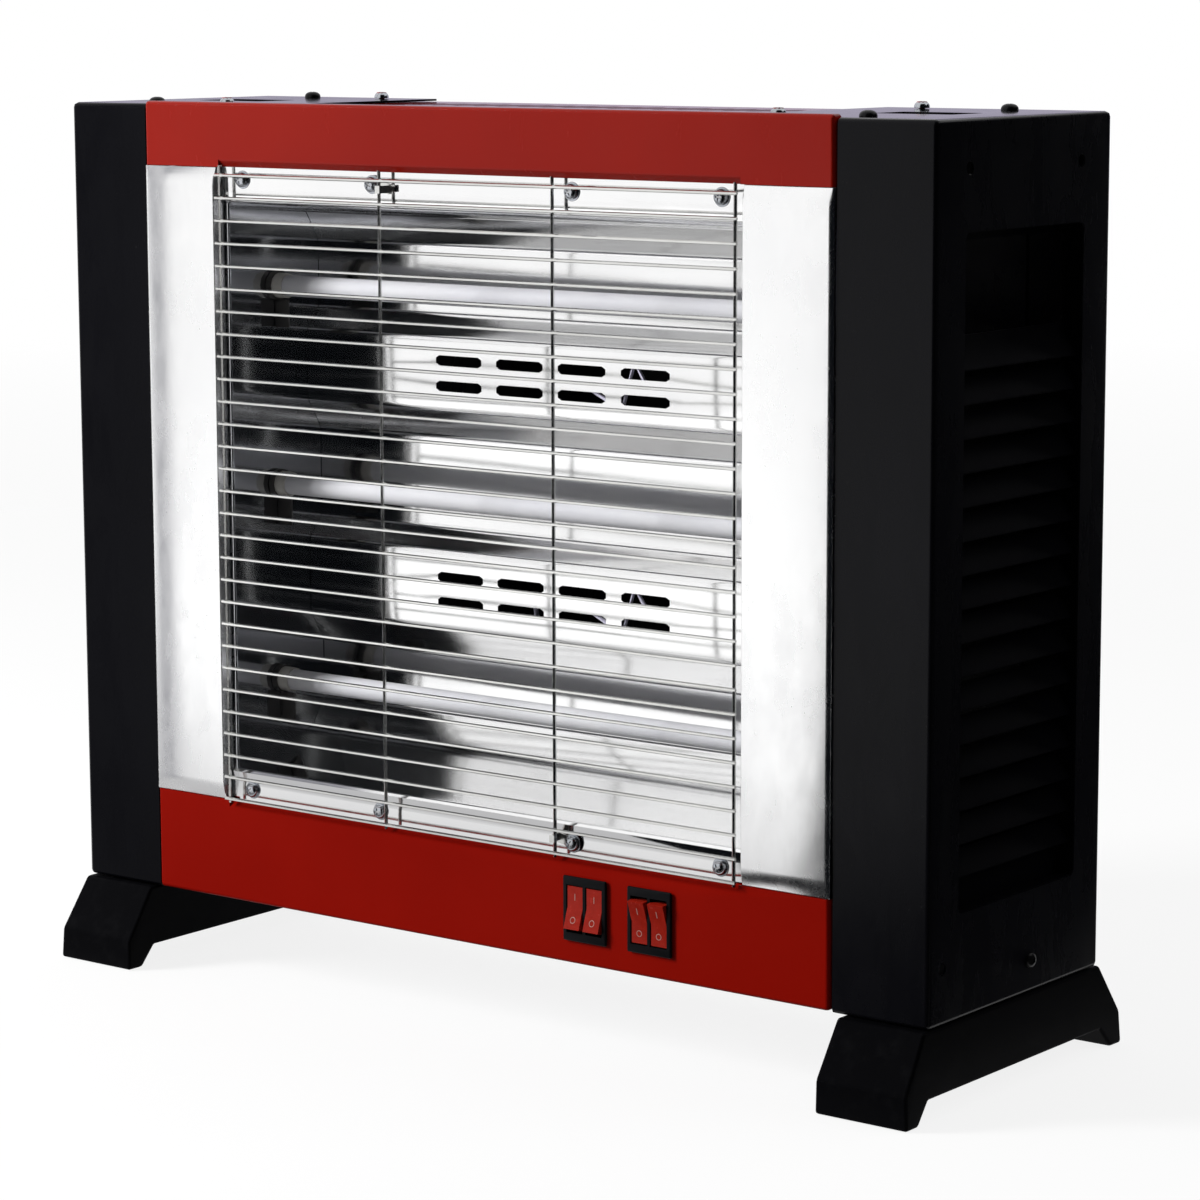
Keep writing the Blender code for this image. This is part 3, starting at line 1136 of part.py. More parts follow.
def tube_lead_route(height, land, way):
    """Wire from a tube's right end, round the inner wall's rear edge and across behind a land."""
    end = WALL_X + COIL_LEAD + GAP
    behind_wall = FRONT + WALL_BACK + 2 * GAP + CABLE_RADIUS
    return [(end, TUBE_Y, height),
            (end + 8 * CABLE_RADIUS, TUBE_Y + 2 * CABLE_RADIUS, height - way * CABLE_RADIUS),
            (end + 11 * CABLE_RADIUS, TUBE_Y + 16 * CABLE_RADIUS, height - way * CABLE_SWING),
            (end + 10 * CABLE_RADIUS, behind_wall - 5 * CABLE_RADIUS, land + way * CABLE_SWING),
            (end + 3 * CABLE_RADIUS, behind_wall, land + way * 3 * CABLE_RADIUS),
            (WALL_X, behind_wall, land),
            (WALL_X - WALL_REAR_FLANGE, BEHIND_LAND, land),
            (SLOT_PITCH * 1.5, BEHIND_LAND, land),
            (SLOT_PITCH * 1.3, BEHIND_LAND, land + CABLE_SWING),
            (SLOT_PITCH * 1.1, BEHIND_LAND, land - CABLE_SWING),
            (SLOT_PITCH / 3, BEHIND_LAND, land + 2 * CABLE_RADIUS)]


def make_wires():
    """Insulated wires from the tubes' ends to the parts that switch and protect them."""
    block_top = BASE_HIGH + WIRE_WAY_TOP + 2 * GAP
    tip_tag_top = BASE_HIGH + TIP_BODY_HEIGHT - SHEET + TAG_LENGTH + 2 * GAP
    block_step = BLOCK_LENGTH / WIRE_WAY_COUNT
    over_base = BASE_HIGH + 2 * CABLE_SWING
    upper_land = (UPPER_LAND_TOP + UPPER_LAND_BOTTOM) / 2
    lower_land = (LOWER_LAND_TOP + LOWER_LAND_BOTTOM) / 2
    drop_x = BLOCK_X - block_step - 2 * CABLE_RADIUS
    upper = tube_lead_route(TOP_TUBE, upper_land, 1)
    upper += [(-SLOT_PITCH, BEHIND_LAND, upper_land), (drop_x - CABLE_SWING, BEHIND_LAND, upper_land),
              (drop_x - CABLE_SWING, BEHIND_LAND + 1.5 * CABLE_SWING, upper_land - CABLE_SWING),
              (drop_x, BLOCK_Y + CABLE_SWING, MIDDLE_TUBE), (drop_x, BLOCK_Y + CABLE_RADIUS, 5 * CABLE_SWING),
              (BLOCK_X - block_step, BLOCK_Y, block_top)]
    lower = tube_lead_route(BOTTOM_TUBE, lower_land, -1)
    lower += [(-CABLE_SWING, BEHIND_LAND, lower_land),
              (TIP_SWITCH_X, BEHIND_LAND + CABLE_SWING, lower_land - CABLE_SWING),
              (TIP_SWITCH_X + TIP_TAG_OFFSET, TIP_SWITCH_Y + CABLE_RADIUS, 6 * CABLE_SWING),
              (TIP_SWITCH_X + TIP_TAG_OFFSET, TIP_SWITCH_Y, tip_tag_top)]
    bus_x = -(WALL_X + COIL_LEAD + GAP) - CABLE_RADIUS
    low_x = bus_x - 2 * CABLE_RADIUS
    before_block = BLOCK_Y - CABLE_SWING / 2
    common = [(bus_x, TUBE_Y, TOP_TUBE + CABLE_SWING / 2), (bus_x, TUBE_Y, MIDDLE_TUBE),
              (bus_x, TUBE_Y, BOTTOM_TUBE - CABLE_SWING),
              (low_x, TUBE_Y + CABLE_SWING, BOTTOM_TUBE - 4 * CABLE_SWING),
              (low_x, CABLE_SWING / 2, 3 * CABLE_SWING), (-WALL_X + CABLE_SWING, before_block, over_base),
              (BLOCK_X - 3 * CABLE_RADIUS, before_block, over_base), (BLOCK_X, BLOCK_Y, over_base),
              (BLOCK_X, BLOCK_Y, block_top)]
    tag_back = PANEL_FRONT + HOUSING_DEPTH + TAG_LENGTH + GAP
    switch_x = SWITCH_XS[0] - (ROCKER_DIVIDER + POCKET_WIDTH) / 2
    turn_y = -CABLE_SWING / 2
    switch = [(switch_x, tag_back, SWITCH_HEIGHT),
              (switch_x - 2 * CABLE_RADIUS, tag_back + CABLE_SWING, SWITCH_HEIGHT),
              (-TIP_SWITCH_X, turn_y, over_base), (TIP_SWITCH_X - CABLE_SWING, turn_y, over_base),
              (BLOCK_X + BLOCK_LENGTH / 2, BLOCK_Y - BLOCK_HALF_DEPTH, over_base),
              (BLOCK_X + block_step, BLOCK_Y - CABLE_RADIUS, over_base),
              (BLOCK_X + block_step, BLOCK_Y, block_top)]
    for name, route in (("upper_tube_wire", upper), ("lower_tube_wire", lower), ("common_wire", common),
                        ("switch_wire", switch)):
        points = [(x, y, level(height)) for x, y, height in route]
        add_part(name, wire_mesh(name, points, CABLE_RADIUS, 1), lilac_wire)


clear_scene()
parts = new_collection("quartz_heater")
guides = new_collection("cutters")

black_paint = new_material("black_paint", (0.010, 0.010, 0.012), 0.38)
black_foot = new_material("black_foot", (0.009, 0.009, 0.011), 0.45)
red_paint = new_material("red_paint", (0.330, 0.010, 0.005), 0.30)
bright_trim = new_material("bright_trim", (0.86, 0.86, 0.87), 0.24, 1.0)
polished_steel = new_material("polished_steel", (0.90, 0.90, 0.91), 0.10, 1.0)
guard_steel = new_material("guard_steel", (0.80, 0.80, 0.80), 0.25, 1.0)
plain_steel = new_material("plain_steel", (0.55, 0.55, 0.56), 0.40, 1.0)
bracket_steel = new_material("bracket_steel", (0.16, 0.16, 0.17), 0.45, 1.0)
screw_black = new_material("screw_black", (0.012, 0.012, 0.013), 0.40)
frosted_quartz = new_material("frosted_quartz", (0.90, 0.90, 0.93), 0.30, 0.0, 0.55)
heating_wire = new_material("heating_wire", (0.35, 0.32, 0.30), 0.50, 1.0)
ceramic = new_material("ceramic", (0.80, 0.78, 0.74), 0.60)
black_plastic = new_material("black_plastic", (0.014, 0.014, 0.015), 0.45)
red_lens = new_material("red_lens", (0.450, 0.020, 0.010), 0.25)
white_nylon = new_material("white_nylon", (0.70, 0.70, 0.68), 0.55)
rubber = new_material("rubber", (0.015, 0.015, 0.015), 0.75)
lilac_wire = new_material("lilac_wire", (0.52, 0.50, 0.62), 0.55)

# Screw places and the holes that they share
flange_places = [(x, height) for height in (UPPER_SCREW_HEIGHT, LOWER_SCREW_HEIGHT) for x in FLANGE_SCREW_XS]
flange_screw_holes = rods_guide("flange_screw_holes",
                                [((x, FRONT, level(height)), (x, FRONT + 8 * SHEET, level(height)))
                                 for x, height in flange_places], HOLE_RADIUS)
dark_places = [(side * (SIDE - TOP_DARK_INSET), end * TOP_SCREW_Y) for side in (-1, 1) for end in (-1, 1)]
bright_places = [(side * TOP_BRIGHT_X, end * TOP_SCREW_Y) for side in (-1, 1) for end in (-1, 1)]
top_screw_holes = rods_guide("top_screw_holes",
                             [((x, y, level(COVER_LOW - 2 * SHEET)), (x, y, level(BODY_HEIGHT + SHEET)))
                              for x, y in dark_places + bright_places], HOLE_RADIUS)
foot_places = [(side * COLUMN_MIDDLE, end * FOOT_SCREW_SPREAD) for side in (-1, 1) for end in (-1, 1)]
foot_screw_holes = rods_guide("foot_screw_holes",
                              [((x, y, FOOT_SCREW_SEAT - SHEET), (x, y, level(4 * SHEET)))
                               for x, y in foot_places], HOLE_RADIUS)
foot_counterbores = rods_guide("foot_counterbores",
                               [((x, y, 0.0), (x, y, FOOT_SCREW_SEAT)) for x, y in foot_places],
                               PAN_RADIUS + GAP)
rear_heights = (REAR_SCREW_MARGIN, BODY_HEIGHT - REAR_SCREW_MARGIN)
rear_screw_x = COLUMN_INNER + REAR_SCREW_OVERLAP
rear_places = [(side * rear_screw_x, height) for side in (-1, 1) for height in rear_heights]
rear_screw_holes = rods_guide("rear_screw_holes",
                              [((x, BACK_PANEL_Y - SHEET, level(height)), (x, REAR + SHEET, level(height)))
                               for x, height in rear_places], HOLE_RADIUS)
side_screw_holes = rods_guide("side_screw_holes",
                              [((side * (SIDE - 3 * SHEET), SIDE_SCREW_Y, level(SIDE_SCREW_HEIGHT)),
                                (side * (SIDE + SHEET), SIDE_SCREW_Y, level(SIDE_SCREW_HEIGHT)))
                               for side in (-1, 1)], HOLE_RADIUS)

for side, label in ((-1, "left"), (1, "right")):
    end_cover(label + "_end_cover", side)
    louvre_panel(label + "_louvre_panel", side)
    foot(label + "_foot", side)
    trim(label + "_trim", side)
    chassis_wall(label + "_chassis_wall", side)
    for tube_name, height in zip(TUBE_NAMES, TUBE_HEIGHTS):
        tube_cap(label + "_" + tube_name + "_tube_cap", side, height)
        tube_bracket(label + "_" + tube_name + "_tube_bracket", side, height)

front_panel("top_front_panel", True)
bottom_front_panel = front_panel("bottom_front_panel", False)
opening_low = level(SWITCH_HEIGHT - HOUSING_HEIGHT / 2 - GAP)
opening_high = level(SWITCH_HEIGHT + HOUSING_HEIGHT / 2 + GAP)
openings = [rectangle((x - HOUSING_WIDTH / 2 - GAP, x + HOUSING_WIDTH / 2 + GAP), (opening_low, opening_high))
            for x in SWITCH_XS]
cut(bottom_front_panel, add_guide("switch_openings", outline_mesh("switch_openings", openings, 4 * SHEET),
                                  (0, PANEL_FRONT, 0), FRONT_OUTLINE))

make_reflector()
crossbar("upper_crossbar", True)
crossbar("lower_crossbar", False)
make_wire_guard()
guard_clip("upper_guard_clip", -1, UPPER_SCREW_HEIGHT, 1)
guard_clip("lower_guard_clip", 1, LOWER_SCREW_HEIGHT, -1)
for tube_name, height in zip(TUBE_NAMES, TUBE_HEIGHTS):
    quartz_tube(tube_name + "_quartz_tube", height)
    heating_coil(tube_name + "_heating_coil", height)

# The left switch's rockers are pressed in at the top, the right switch's at the bottom
for switch_name, x, tilt in zip(SWITCH_NAMES, SWITCH_XS, (-ROCKER_TILT, ROCKER_TILT)):
    switch_housing(switch_name + "_switch_housing", x)
    for way, label in ((-1, "left"), (1, "right")):
        rocker_x = x + way * (ROCKER_DIVIDER + POCKET_WIDTH) / 2
        rocker(switch_name + "_switch_" + label + "_rocker", rocker_x, tilt)

make_top_cover()
make_back_panel()
make_base_plate()
make_cord_gland()
make_thermal_cutout()
make_terminal_block()
make_tip_over_switch()
make_wires()

# Screws that stand apart, each seated a gap off what it holds
black_top_screw = pan_screw("black_top_screw", TOP_DARK_RADIUS, TOP_DARK_HEIGHT, SHORT_SCREW_LENGTH)
side_screw = pan_screw("side_screw", PAN_RADIUS, PAN_HEIGHT, SHORT_SCREW_LENGTH)
for side, label in ((-1, "left"), (1, "right")):
    for end, end_label in ((-1, "front"), (1, "rear")):
        add_part(label + "_" + end_label + "_top_screw", black_top_screw, screw_black,
                 (side * (SIDE - TOP_DARK_INSET), end * TOP_SCREW_Y, level(BODY_HEIGHT + GAP)))
    add_part(label + "_side_screw", side_screw, screw_black,
             (side * (SIDE + GAP), SIDE_SCREW_Y, level(SIDE_SCREW_HEIGHT)),
             (0, side * math.pi / 2, 0))
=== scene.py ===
"""Looks of a quartz heater with a wire guard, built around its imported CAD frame.

Metres, +Z up, front towards -Y.
"""
import json
import math

import bmesh
import bpy
from mathutils import Matrix, Vector
from mathutils.bvhtree import BVHTree

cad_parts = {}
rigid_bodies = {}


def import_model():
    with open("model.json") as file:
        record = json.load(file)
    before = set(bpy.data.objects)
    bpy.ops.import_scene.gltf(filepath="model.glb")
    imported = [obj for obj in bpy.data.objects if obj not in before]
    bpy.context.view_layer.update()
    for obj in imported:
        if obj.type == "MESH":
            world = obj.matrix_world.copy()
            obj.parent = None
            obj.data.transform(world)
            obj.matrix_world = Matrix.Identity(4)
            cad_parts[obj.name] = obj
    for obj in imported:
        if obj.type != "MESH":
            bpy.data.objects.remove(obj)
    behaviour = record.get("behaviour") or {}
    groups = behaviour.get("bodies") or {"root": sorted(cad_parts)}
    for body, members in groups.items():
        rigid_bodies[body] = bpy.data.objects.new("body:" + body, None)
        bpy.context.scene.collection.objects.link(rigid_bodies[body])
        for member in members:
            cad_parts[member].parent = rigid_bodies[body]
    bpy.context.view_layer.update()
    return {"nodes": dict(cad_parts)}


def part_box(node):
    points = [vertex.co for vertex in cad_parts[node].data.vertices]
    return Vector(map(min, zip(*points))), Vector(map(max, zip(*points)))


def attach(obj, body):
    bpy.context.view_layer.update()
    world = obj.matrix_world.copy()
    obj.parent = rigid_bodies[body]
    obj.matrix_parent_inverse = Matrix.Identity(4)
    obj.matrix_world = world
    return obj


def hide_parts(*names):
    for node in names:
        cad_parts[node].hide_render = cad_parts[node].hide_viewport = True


for item in list(bpy.data.objects):
    bpy.data.objects.remove(item, do_unlink=True)
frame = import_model()
nodes = frame["nodes"]

BODY_BOTTOM = 0.0411
ROOT = "cabinet"
FRONT_WAY = (0, -1, 0)
REAR_WAY = (0, 1, 0)
UP_WAY = (0, 0, 1)

# Camera, solved from the photograph's perspective
CAMERA_PLACE = (1.15532, -1.47081, 0.49404)
CAMERA_YAW = math.radians(37.644)
CAMERA_PITCH = math.radians(8.909)
CAMERA_ROLL = math.radians(0.168)
CAMERA_LENS = 115.62
CAMERA_SENSOR = 36.0
CAMERA_NEAR = 0.01
CAMERA_FAR = 100.0


def level(height):
    """World height of a height above the cabinet's bottom."""
    return BODY_BOTTOM + height


# Shading nodes

def add_node(tree, kind, **values):
    """New node with the given properties set."""
    made = tree.nodes.new(kind)
    for key, value in values.items():
        setattr(made, key, value)
    return made


def new_surface(name, colour, roughness, metallic=0.0, specular=0.5):
    """Material with a Principled shader; gives its tree, its shader and its object coordinates."""
    made = bpy.data.materials.new(name)
    made.use_nodes = True
    tree = made.node_tree
    shader = tree.nodes["Principled BSDF"]
    shader.inputs["Base Color"].default_value = (*colour, 1.0)
    shader.inputs["Roughness"].default_value = roughness
    shader.inputs["Metallic"].default_value = metallic
    shader.inputs["Specular IOR Level"].default_value = specular
    coords = add_node(tree, "ShaderNodeTexCoord").outputs["Object"]
    return made, tree, shader, coords


def stretched(tree, coords, scale):
    mapping = add_node(tree, "ShaderNodeMapping")
    mapping.inputs["Scale"].default_value = scale
    tree.links.new(coords, mapping.inputs["Vector"])
    return mapping.outputs["Vector"]


def noise(tree, coords, scale, detail=3.0, rough=0.55, distortion=0.0):
    made = add_node(tree, "ShaderNodeTexNoise")
    made.inputs["Scale"].default_value = scale
    made.inputs["Detail"].default_value = detail
    made.inputs["Roughness"].default_value = rough
    made.inputs["Distortion"].default_value = distortion
    tree.links.new(coords, made.inputs["Vector"])
    return made.outputs["Fac"]


def specks(tree, coords, scale, size):
    """Small round specks: 1 inside a speck, 0 between them."""
    made = add_node(tree, "ShaderNodeTexVoronoi")
    made.inputs["Scale"].default_value = scale
    tree.links.new(coords, made.inputs["Vector"])
    return spread(tree, made.outputs["Distance"], size, size * 0.5, 0.0, 1.0)


def spread(tree, value, from_low, from_high, to_low, to_high):
    """Value mapped from one range to another, held at its ends."""
    made = add_node(tree, "ShaderNodeMapRange")
    made.clamp = True
    limits = {"From Min": from_low, "From Max": from_high, "To Min": to_low, "To Max": to_high}
    for key, number in limits.items():
        made.inputs[key].default_value = number
    tree.links.new(value, made.inputs["Value"])
    return made.outputs["Result"]


def math_node(tree, operation, first, second):
    made = add_node(tree, "ShaderNodeMath", operation=operation)
    for socket, value in zip(made.inputs, (first, second)):
        if isinstance(value, (int, float)):
            socket.default_value = value
        else:
            tree.links.new(value, socket)
    return made.outputs["Value"]


def blend_colour(tree, share, first, second):
    """Colour between two, each a tuple or another node's colour."""
    made = add_node(tree, "ShaderNodeMix", data_type="RGBA")
    tree.links.new(share, made.inputs["Factor"])
    for key, value in (("A", first), ("B", second)):
        socket = next(item for item in made.inputs if item.name == key and item.type == "RGBA")
        if isinstance(value, tuple):
            socket.default_value = (*value, 1.0)
        else:
            tree.links.new(value, socket)
    return next(item for item in made.outputs if item.type == "RGBA")


def add_bump(tree, shader, height, strength, distance, after=None):
    made = add_node(tree, "ShaderNodeBump")
    made.inputs["Strength"].default_value = strength
    made.inputs["Distance"].default_value = distance
    tree.links.new(height, made.inputs["Height"])
    if after is not None:
        tree.links.new(after, made.inputs["Normal"])
    tree.links.new(made.outputs["Normal"], shader.inputs["Normal"])
    return made.outputs["Normal"]


def axis_value(tree, coords, axis):
    split = add_node(tree, "ShaderNodeSeparateXYZ")
    tree.links.new(coords, split.inputs["Vector"])
    return split.outputs[axis]


# Depths of the bumps, what dust and gloss do to the paint, and the ways that streaks run
PAINT_WAVE_DEPTH = 0.002
PAINT_PEEL_DEPTH = 0.00004
SHEET_WAVE_DEPTH = 0.004
STREAK_DEPTH = 0.00008
GRAIN_DEPTH = 0.0001
DUST_COLOUR = (0.35, 0.34, 0.34)
TOP_GLOSS_SHARE = 0.30
ROUND_STREAK = (1.0, 1.0, 1.0)
SHEET_STREAK = (0.05, 1.0, 1.0)


def painted(name, low, high, roughness, specular, peel=0.10, dust=0.05, top_gloss=False):
    """Sheet metal paint: slow colour drift, orange peel, faint handling marks and dust.

    With top_gloss its upward faces are glossier.
    """
    made, tree, shader, coords = new_surface(name, low, roughness, 0.0, specular)
    drift = spread(tree, noise(tree, coords, scale=7.0, detail=4.0), 0.35, 0.65, 0.0, 1.0)
    colour = blend_colour(tree, drift, low, high)
    dusty = math_node(tree, "MULTIPLY", specks(tree, coords, scale=240.0, size=0.10),
                      spread(tree, noise(tree, coords, scale=60.0, detail=2.0), 0.60, 0.72, 0.0, dust))
    colour = blend_colour(tree, dusty, colour, DUST_COLOUR)
    tree.links.new(colour, shader.inputs["Base Color"])
    marks = noise(tree, stretched(tree, coords, (1.0, 1.0, 0.35)), scale=55.0, detail=6.0, rough=0.65,
                  distortion=0.6)
    rough = spread(tree, marks, 0.35, 0.75, roughness - 0.05, roughness + 0.10)
    if top_gloss:
        upward = axis_value(tree, add_node(tree, "ShaderNodeTexCoord").outputs["Normal"], "Z")
        rough = math_node(tree, "MULTIPLY", rough, spread(tree, upward, 0.90, 0.98, 1.0, TOP_GLOSS_SHARE))
    tree.links.new(rough, shader.inputs["Roughness"])
    wave = add_bump(tree, shader, noise(tree, coords, scale=16.0, detail=1.0), strength=0.03,
                    distance=PAINT_WAVE_DEPTH)
    add_bump(tree, shader, noise(tree, coords, scale=1100.0, detail=2.0), peel, PAINT_PEEL_DEPTH, wave)
    return made


def moulded(name, colour, roughness, specular, grain=0.25):
    """Moulded plastic: fine grain, slow sheen drift and faint scuffs."""
    made, tree, shader, coords = new_surface(name, colour, roughness, 0.0, specular)
    light = tuple(channel * 1.5 + 0.003 for channel in colour)
    scuffs = noise(tree, stretched(tree, coords, (1.0, 0.25, 1.0)), scale=120.0, detail=5.0, rough=0.7)
    tree.links.new(blend_colour(tree, spread(tree, scuffs, 0.5, 0.8, 0.0, 0.6), colour, light),
                   shader.inputs["Base Color"])
    drift = noise(tree, coords, scale=22.0, detail=3.0)
    tree.links.new(spread(tree, drift, 0.3, 0.7, roughness - 0.05, roughness + 0.07),
                   shader.inputs["Roughness"])
    add_bump(tree, shader, noise(tree, coords, scale=1800.0, detail=2.0), grain, GRAIN_DEPTH)
    return made


def metal(name, low, high, roughness, streak=ROUND_STREAK, streak_scale=300.0, wave=0.0, wave_scale=9.0,
          fine=0.05):
    """Bare metal: colour drift, streaks of finish along one way and slow waves in the sheet."""
    made, tree, shader, coords = new_surface(name, low, roughness, 1.0)
    drift = spread(tree, noise(tree, coords, scale=14.0, detail=5.0, rough=0.6), 0.35, 0.70, 0.0, 1.0)
    tree.links.new(blend_colour(tree, drift, low, high), shader.inputs["Base Color"])
    lines = noise(tree, stretched(tree, coords, streak), streak_scale, detail=4.0, rough=0.6)
    smudge = noise(tree, coords, scale=24.0, detail=5.0, rough=0.65, distortion=0.4)
    rough = spread(tree, math_node(tree, "ADD", math_node(tree, "MULTIPLY", lines, 0.5),
                                   math_node(tree, "MULTIPLY", smudge, 0.5)), 0.35, 0.65,
                   roughness * 0.75, roughness * 1.35)
    tree.links.new(rough, shader.inputs["Roughness"])
    below = None
    if wave:
        below = add_bump(tree, shader, noise(tree, coords, wave_scale, detail=2.0), wave, SHEET_WAVE_DEPTH)
    add_bump(tree, shader, lines, fine, STREAK_DEPTH, below)
    return made


# Materials of the CAD nodes

black_paint = painted("black_paint", (0.0020, 0.0020, 0.0028), (0.0031, 0.0031, 0.0043), roughness=0.27,
                      specular=0.11, dust=0.04, top_gloss=True)
# Darker, less glossy copy of the black paint for the left end cover: painted shade on that end
black_left_painted_shade = painted("black_left_painted_shade", (0.0018, 0.0018, 0.0026), (0.0028, 0.0028, 0.0040), roughness=0.27,
                     specular=0.05, dust=0.04, top_gloss=True)
# Darker, rougher, less glossy copy of the black paint for the louvre panels on the sides: painted shade
black_side = painted("black_side", (0.0010, 0.0010, 0.0016), (0.0018, 0.0018, 0.0026), roughness=0.40,
                     specular=0.05, dust=0.03)
red_paint = painted("red_paint", (0.215, 0.0048, 0.0012), (0.240, 0.0064, 0.0018), roughness=0.22,
                    specular=0.16, peel=0.08, dust=0.03, top_gloss=True)
# Darker, rougher copy of the red paint with its sheen taken out, for the bottom front panel: painted shade
red_low_painted_shade = painted("red_low_painted_shade", (0.200, 0.0032, 0.0009), (0.225, 0.0040, 0.0012), roughness=0.36,
                  specular=0.02, peel=0.08, dust=0.02)
black_foot = moulded("black_foot", (0.0017, 0.0017, 0.0022), roughness=0.50, specular=0.02)
black_plastic = moulded("black_plastic", (0.0024, 0.0026, 0.0034), roughness=0.40, specular=0.10, grain=0.15)
white_nylon = moulded("white_nylon", (0.72, 0.72, 0.69), roughness=0.50, specular=0.5, grain=0.10)
lilac_wire = moulded("lilac_wire", (0.62, 0.60, 0.74), roughness=0.45, specular=0.5, grain=0.05)
rubber = moulded("rubber", (0.012, 0.012, 0.012), roughness=0.70, specular=0.3, grain=0.40)
bright_trim = metal("bright_trim", (0.94, 0.94, 0.945), (0.98, 0.98, 0.98), roughness=0.24,
                    streak=(1.0, 1.0, 0.4), streak_scale=90.0, wave=0.006, wave_scale=7.0, fine=0.0015)
wall_steel = metal("wall_steel", (0.52, 0.53, 0.55), (0.56, 0.57, 0.59), roughness=0.085,
                   streak=SHEET_STREAK, streak_scale=420.0, wave=0.020, wave_scale=11.0, fine=0.02)
guard_steel = metal("guard_steel", (0.66, 0.66, 0.64), (0.82, 0.82, 0.80), roughness=0.20)
plain_steel = metal("plain_steel", (0.52, 0.52, 0.53), (0.66, 0.66, 0.67), roughness=0.34, streak_scale=140.0)
bracket_steel = metal("bracket_steel", (0.10, 0.10, 0.11), (0.20, 0.19, 0.18), roughness=0.38)
heating_wire = metal("heating_wire", (0.28, 0.25, 0.23), (0.42, 0.38, 0.34), roughness=0.42)
screw_black = painted("screw_black", (0.003, 0.003, 0.0035), (0.005, 0.005, 0.0055), roughness=0.28,
                      specular=0.16, peel=0.05, dust=0.0)


def frosted():
    """Milky quartz: cloudy white with a soft sheen, a little light passing through."""
    made, tree, shader, coords = new_surface("frosted_quartz", (0.82, 0.82, 0.86), roughness=0.42)
    clouds = noise(tree, stretched(tree, coords, (0.3, 1.0, 1.0)), scale=90.0, detail=5.0)
    cloud = spread(tree, clouds, 0.3, 0.7, 0.0, 1.0)
    tree.links.new(blend_colour(tree, cloud, (0.78, 0.78, 0.83), (0.88, 0.88, 0.91)),
                   shader.inputs["Base Color"])
    tree.links.new(spread(tree, cloud, 0.0, 1.0, 0.38, 0.50), shader.inputs["Roughness"])
    shader.inputs["Transmission Weight"].default_value = 0.10
    shader.inputs["IOR"].default_value = 1.46
    add_bump(tree, shader, noise(tree, coords, scale=700.0, detail=2.0), strength=0.08, distance=GRAIN_DEPTH)
    return made


def fired_ceramic():
    """Unglazed ceramic: chalky, with pores."""
    made, tree, shader, coords = new_surface("ceramic", (0.62, 0.60, 0.56), roughness=0.62)
    tone = noise(tree, coords, scale=160.0, detail=5.0)
    tree.links.new(blend_colour(tree, spread(tree, tone, 0.3, 0.7, 0.0, 1.0), (0.50, 0.48, 0.45),
                                (0.70, 0.68, 0.64)), shader.inputs["Base Color"])
    tree.links.new(spread(tree, tone, 0.3, 0.7, 0.55, 0.70), shader.inputs["Roughness"])
    add_bump(tree, shader, noise(tree, coords, scale=1400.0, detail=3.0), strength=0.3, distance=GRAIN_DEPTH)
    return made


def lens():
    """Red translucent rocker plastic with a soft inner glow of the surrounding light."""
    made, tree, shader, coords = new_surface("red_lens", (0.26, 0.011, 0.005), roughness=0.26, specular=0.13)
    tone = noise(tree, coords, scale=300.0, detail=4.0)
    tree.links.new(blend_colour(tree, spread(tree, tone, 0.3, 0.7, 0.0, 1.0), (0.235, 0.009, 0.004),
                                (0.285, 0.013, 0.006)), shader.inputs["Base Color"])
    tree.links.new(spread(tree, tone, 0.3, 0.7, 0.24, 0.28), shader.inputs["Roughness"])
    shader.inputs["Subsurface Weight"].default_value = 0.15
    shader.inputs["Subsurface Scale"].default_value = 0.0010
    add_bump(tree, shader, noise(tree, coords, scale=1500.0, detail=2.0), strength=0.08, distance=GRAIN_DEPTH)
    return made


def mark_paint():
    """Pale printed mark, slightly worn."""
    made, tree, shader, coords = new_surface("mark_paint", (0.33, 0.16, 0.14), roughness=0.5)
    wear = spread(tree, noise(tree, coords, scale=2600.0, detail=3.0), 0.35, 0.65, 0.0, 1.0)
    tree.links.new(blend_colour(tree, wear, (0.26, 0.12, 0.10), (0.40, 0.23, 0.20)),
                   shader.inputs["Base Color"])
    return made


polished_steel = metal("polished_steel", (0.93, 0.93, 0.935), (0.97, 0.97, 0.97), roughness=0.085,
                       streak=SHEET_STREAK, streak_scale=420.0, wave=0.020, wave_scale=11.0, fine=0.02)
frosted_quartz = frosted()
ceramic = fired_ceramic()
red_lens = lens()
mark_material = mark_paint()
screw_bright = metal("screw_bright", (0.40, 0.42, 0.45), (0.56, 0.58, 0.62), roughness=0.20,
                     streak_scale=500.0)

SLOT_MATERIALS = {
    "black_paint": black_paint, "black_foot": black_foot, "red_paint": red_paint, "bright_trim": bright_trim,
    "guard_steel": guard_steel, "polished_steel": polished_steel, "plain_steel": plain_steel,
    "bracket_steel": bracket_steel, "frosted_quartz": frosted_quartz, "heating_wire": heating_wire,
    "ceramic": ceramic, "black_plastic": black_plastic, "red_lens": red_lens, "screw_black": screw_black,
    "rubber": rubber, "white_nylon": white_nylon, "lilac_wire": lilac_wire,
}
# Nodes that take another material than the rest of their slot: darker copies of their paint, painted shade,
# on the left end cover, the louvre panels and the bottom front panel, and a darker steel on the chassis walls
NODE_MATERIALS = {
    "bottom_front_panel": red_low_painted_shade, "left_end_cover": black_left_painted_shade,
    "left_louvre_panel": black_side, "right_louvre_panel": black_side,
    "left_chassis_wall": wall_steel, "right_chassis_wall": wall_steel,
}
SAME_CORNER = 0.000002
CAD_SMOOTH_ANGLE = math.radians(50)
FACE_WEIGHT = 70


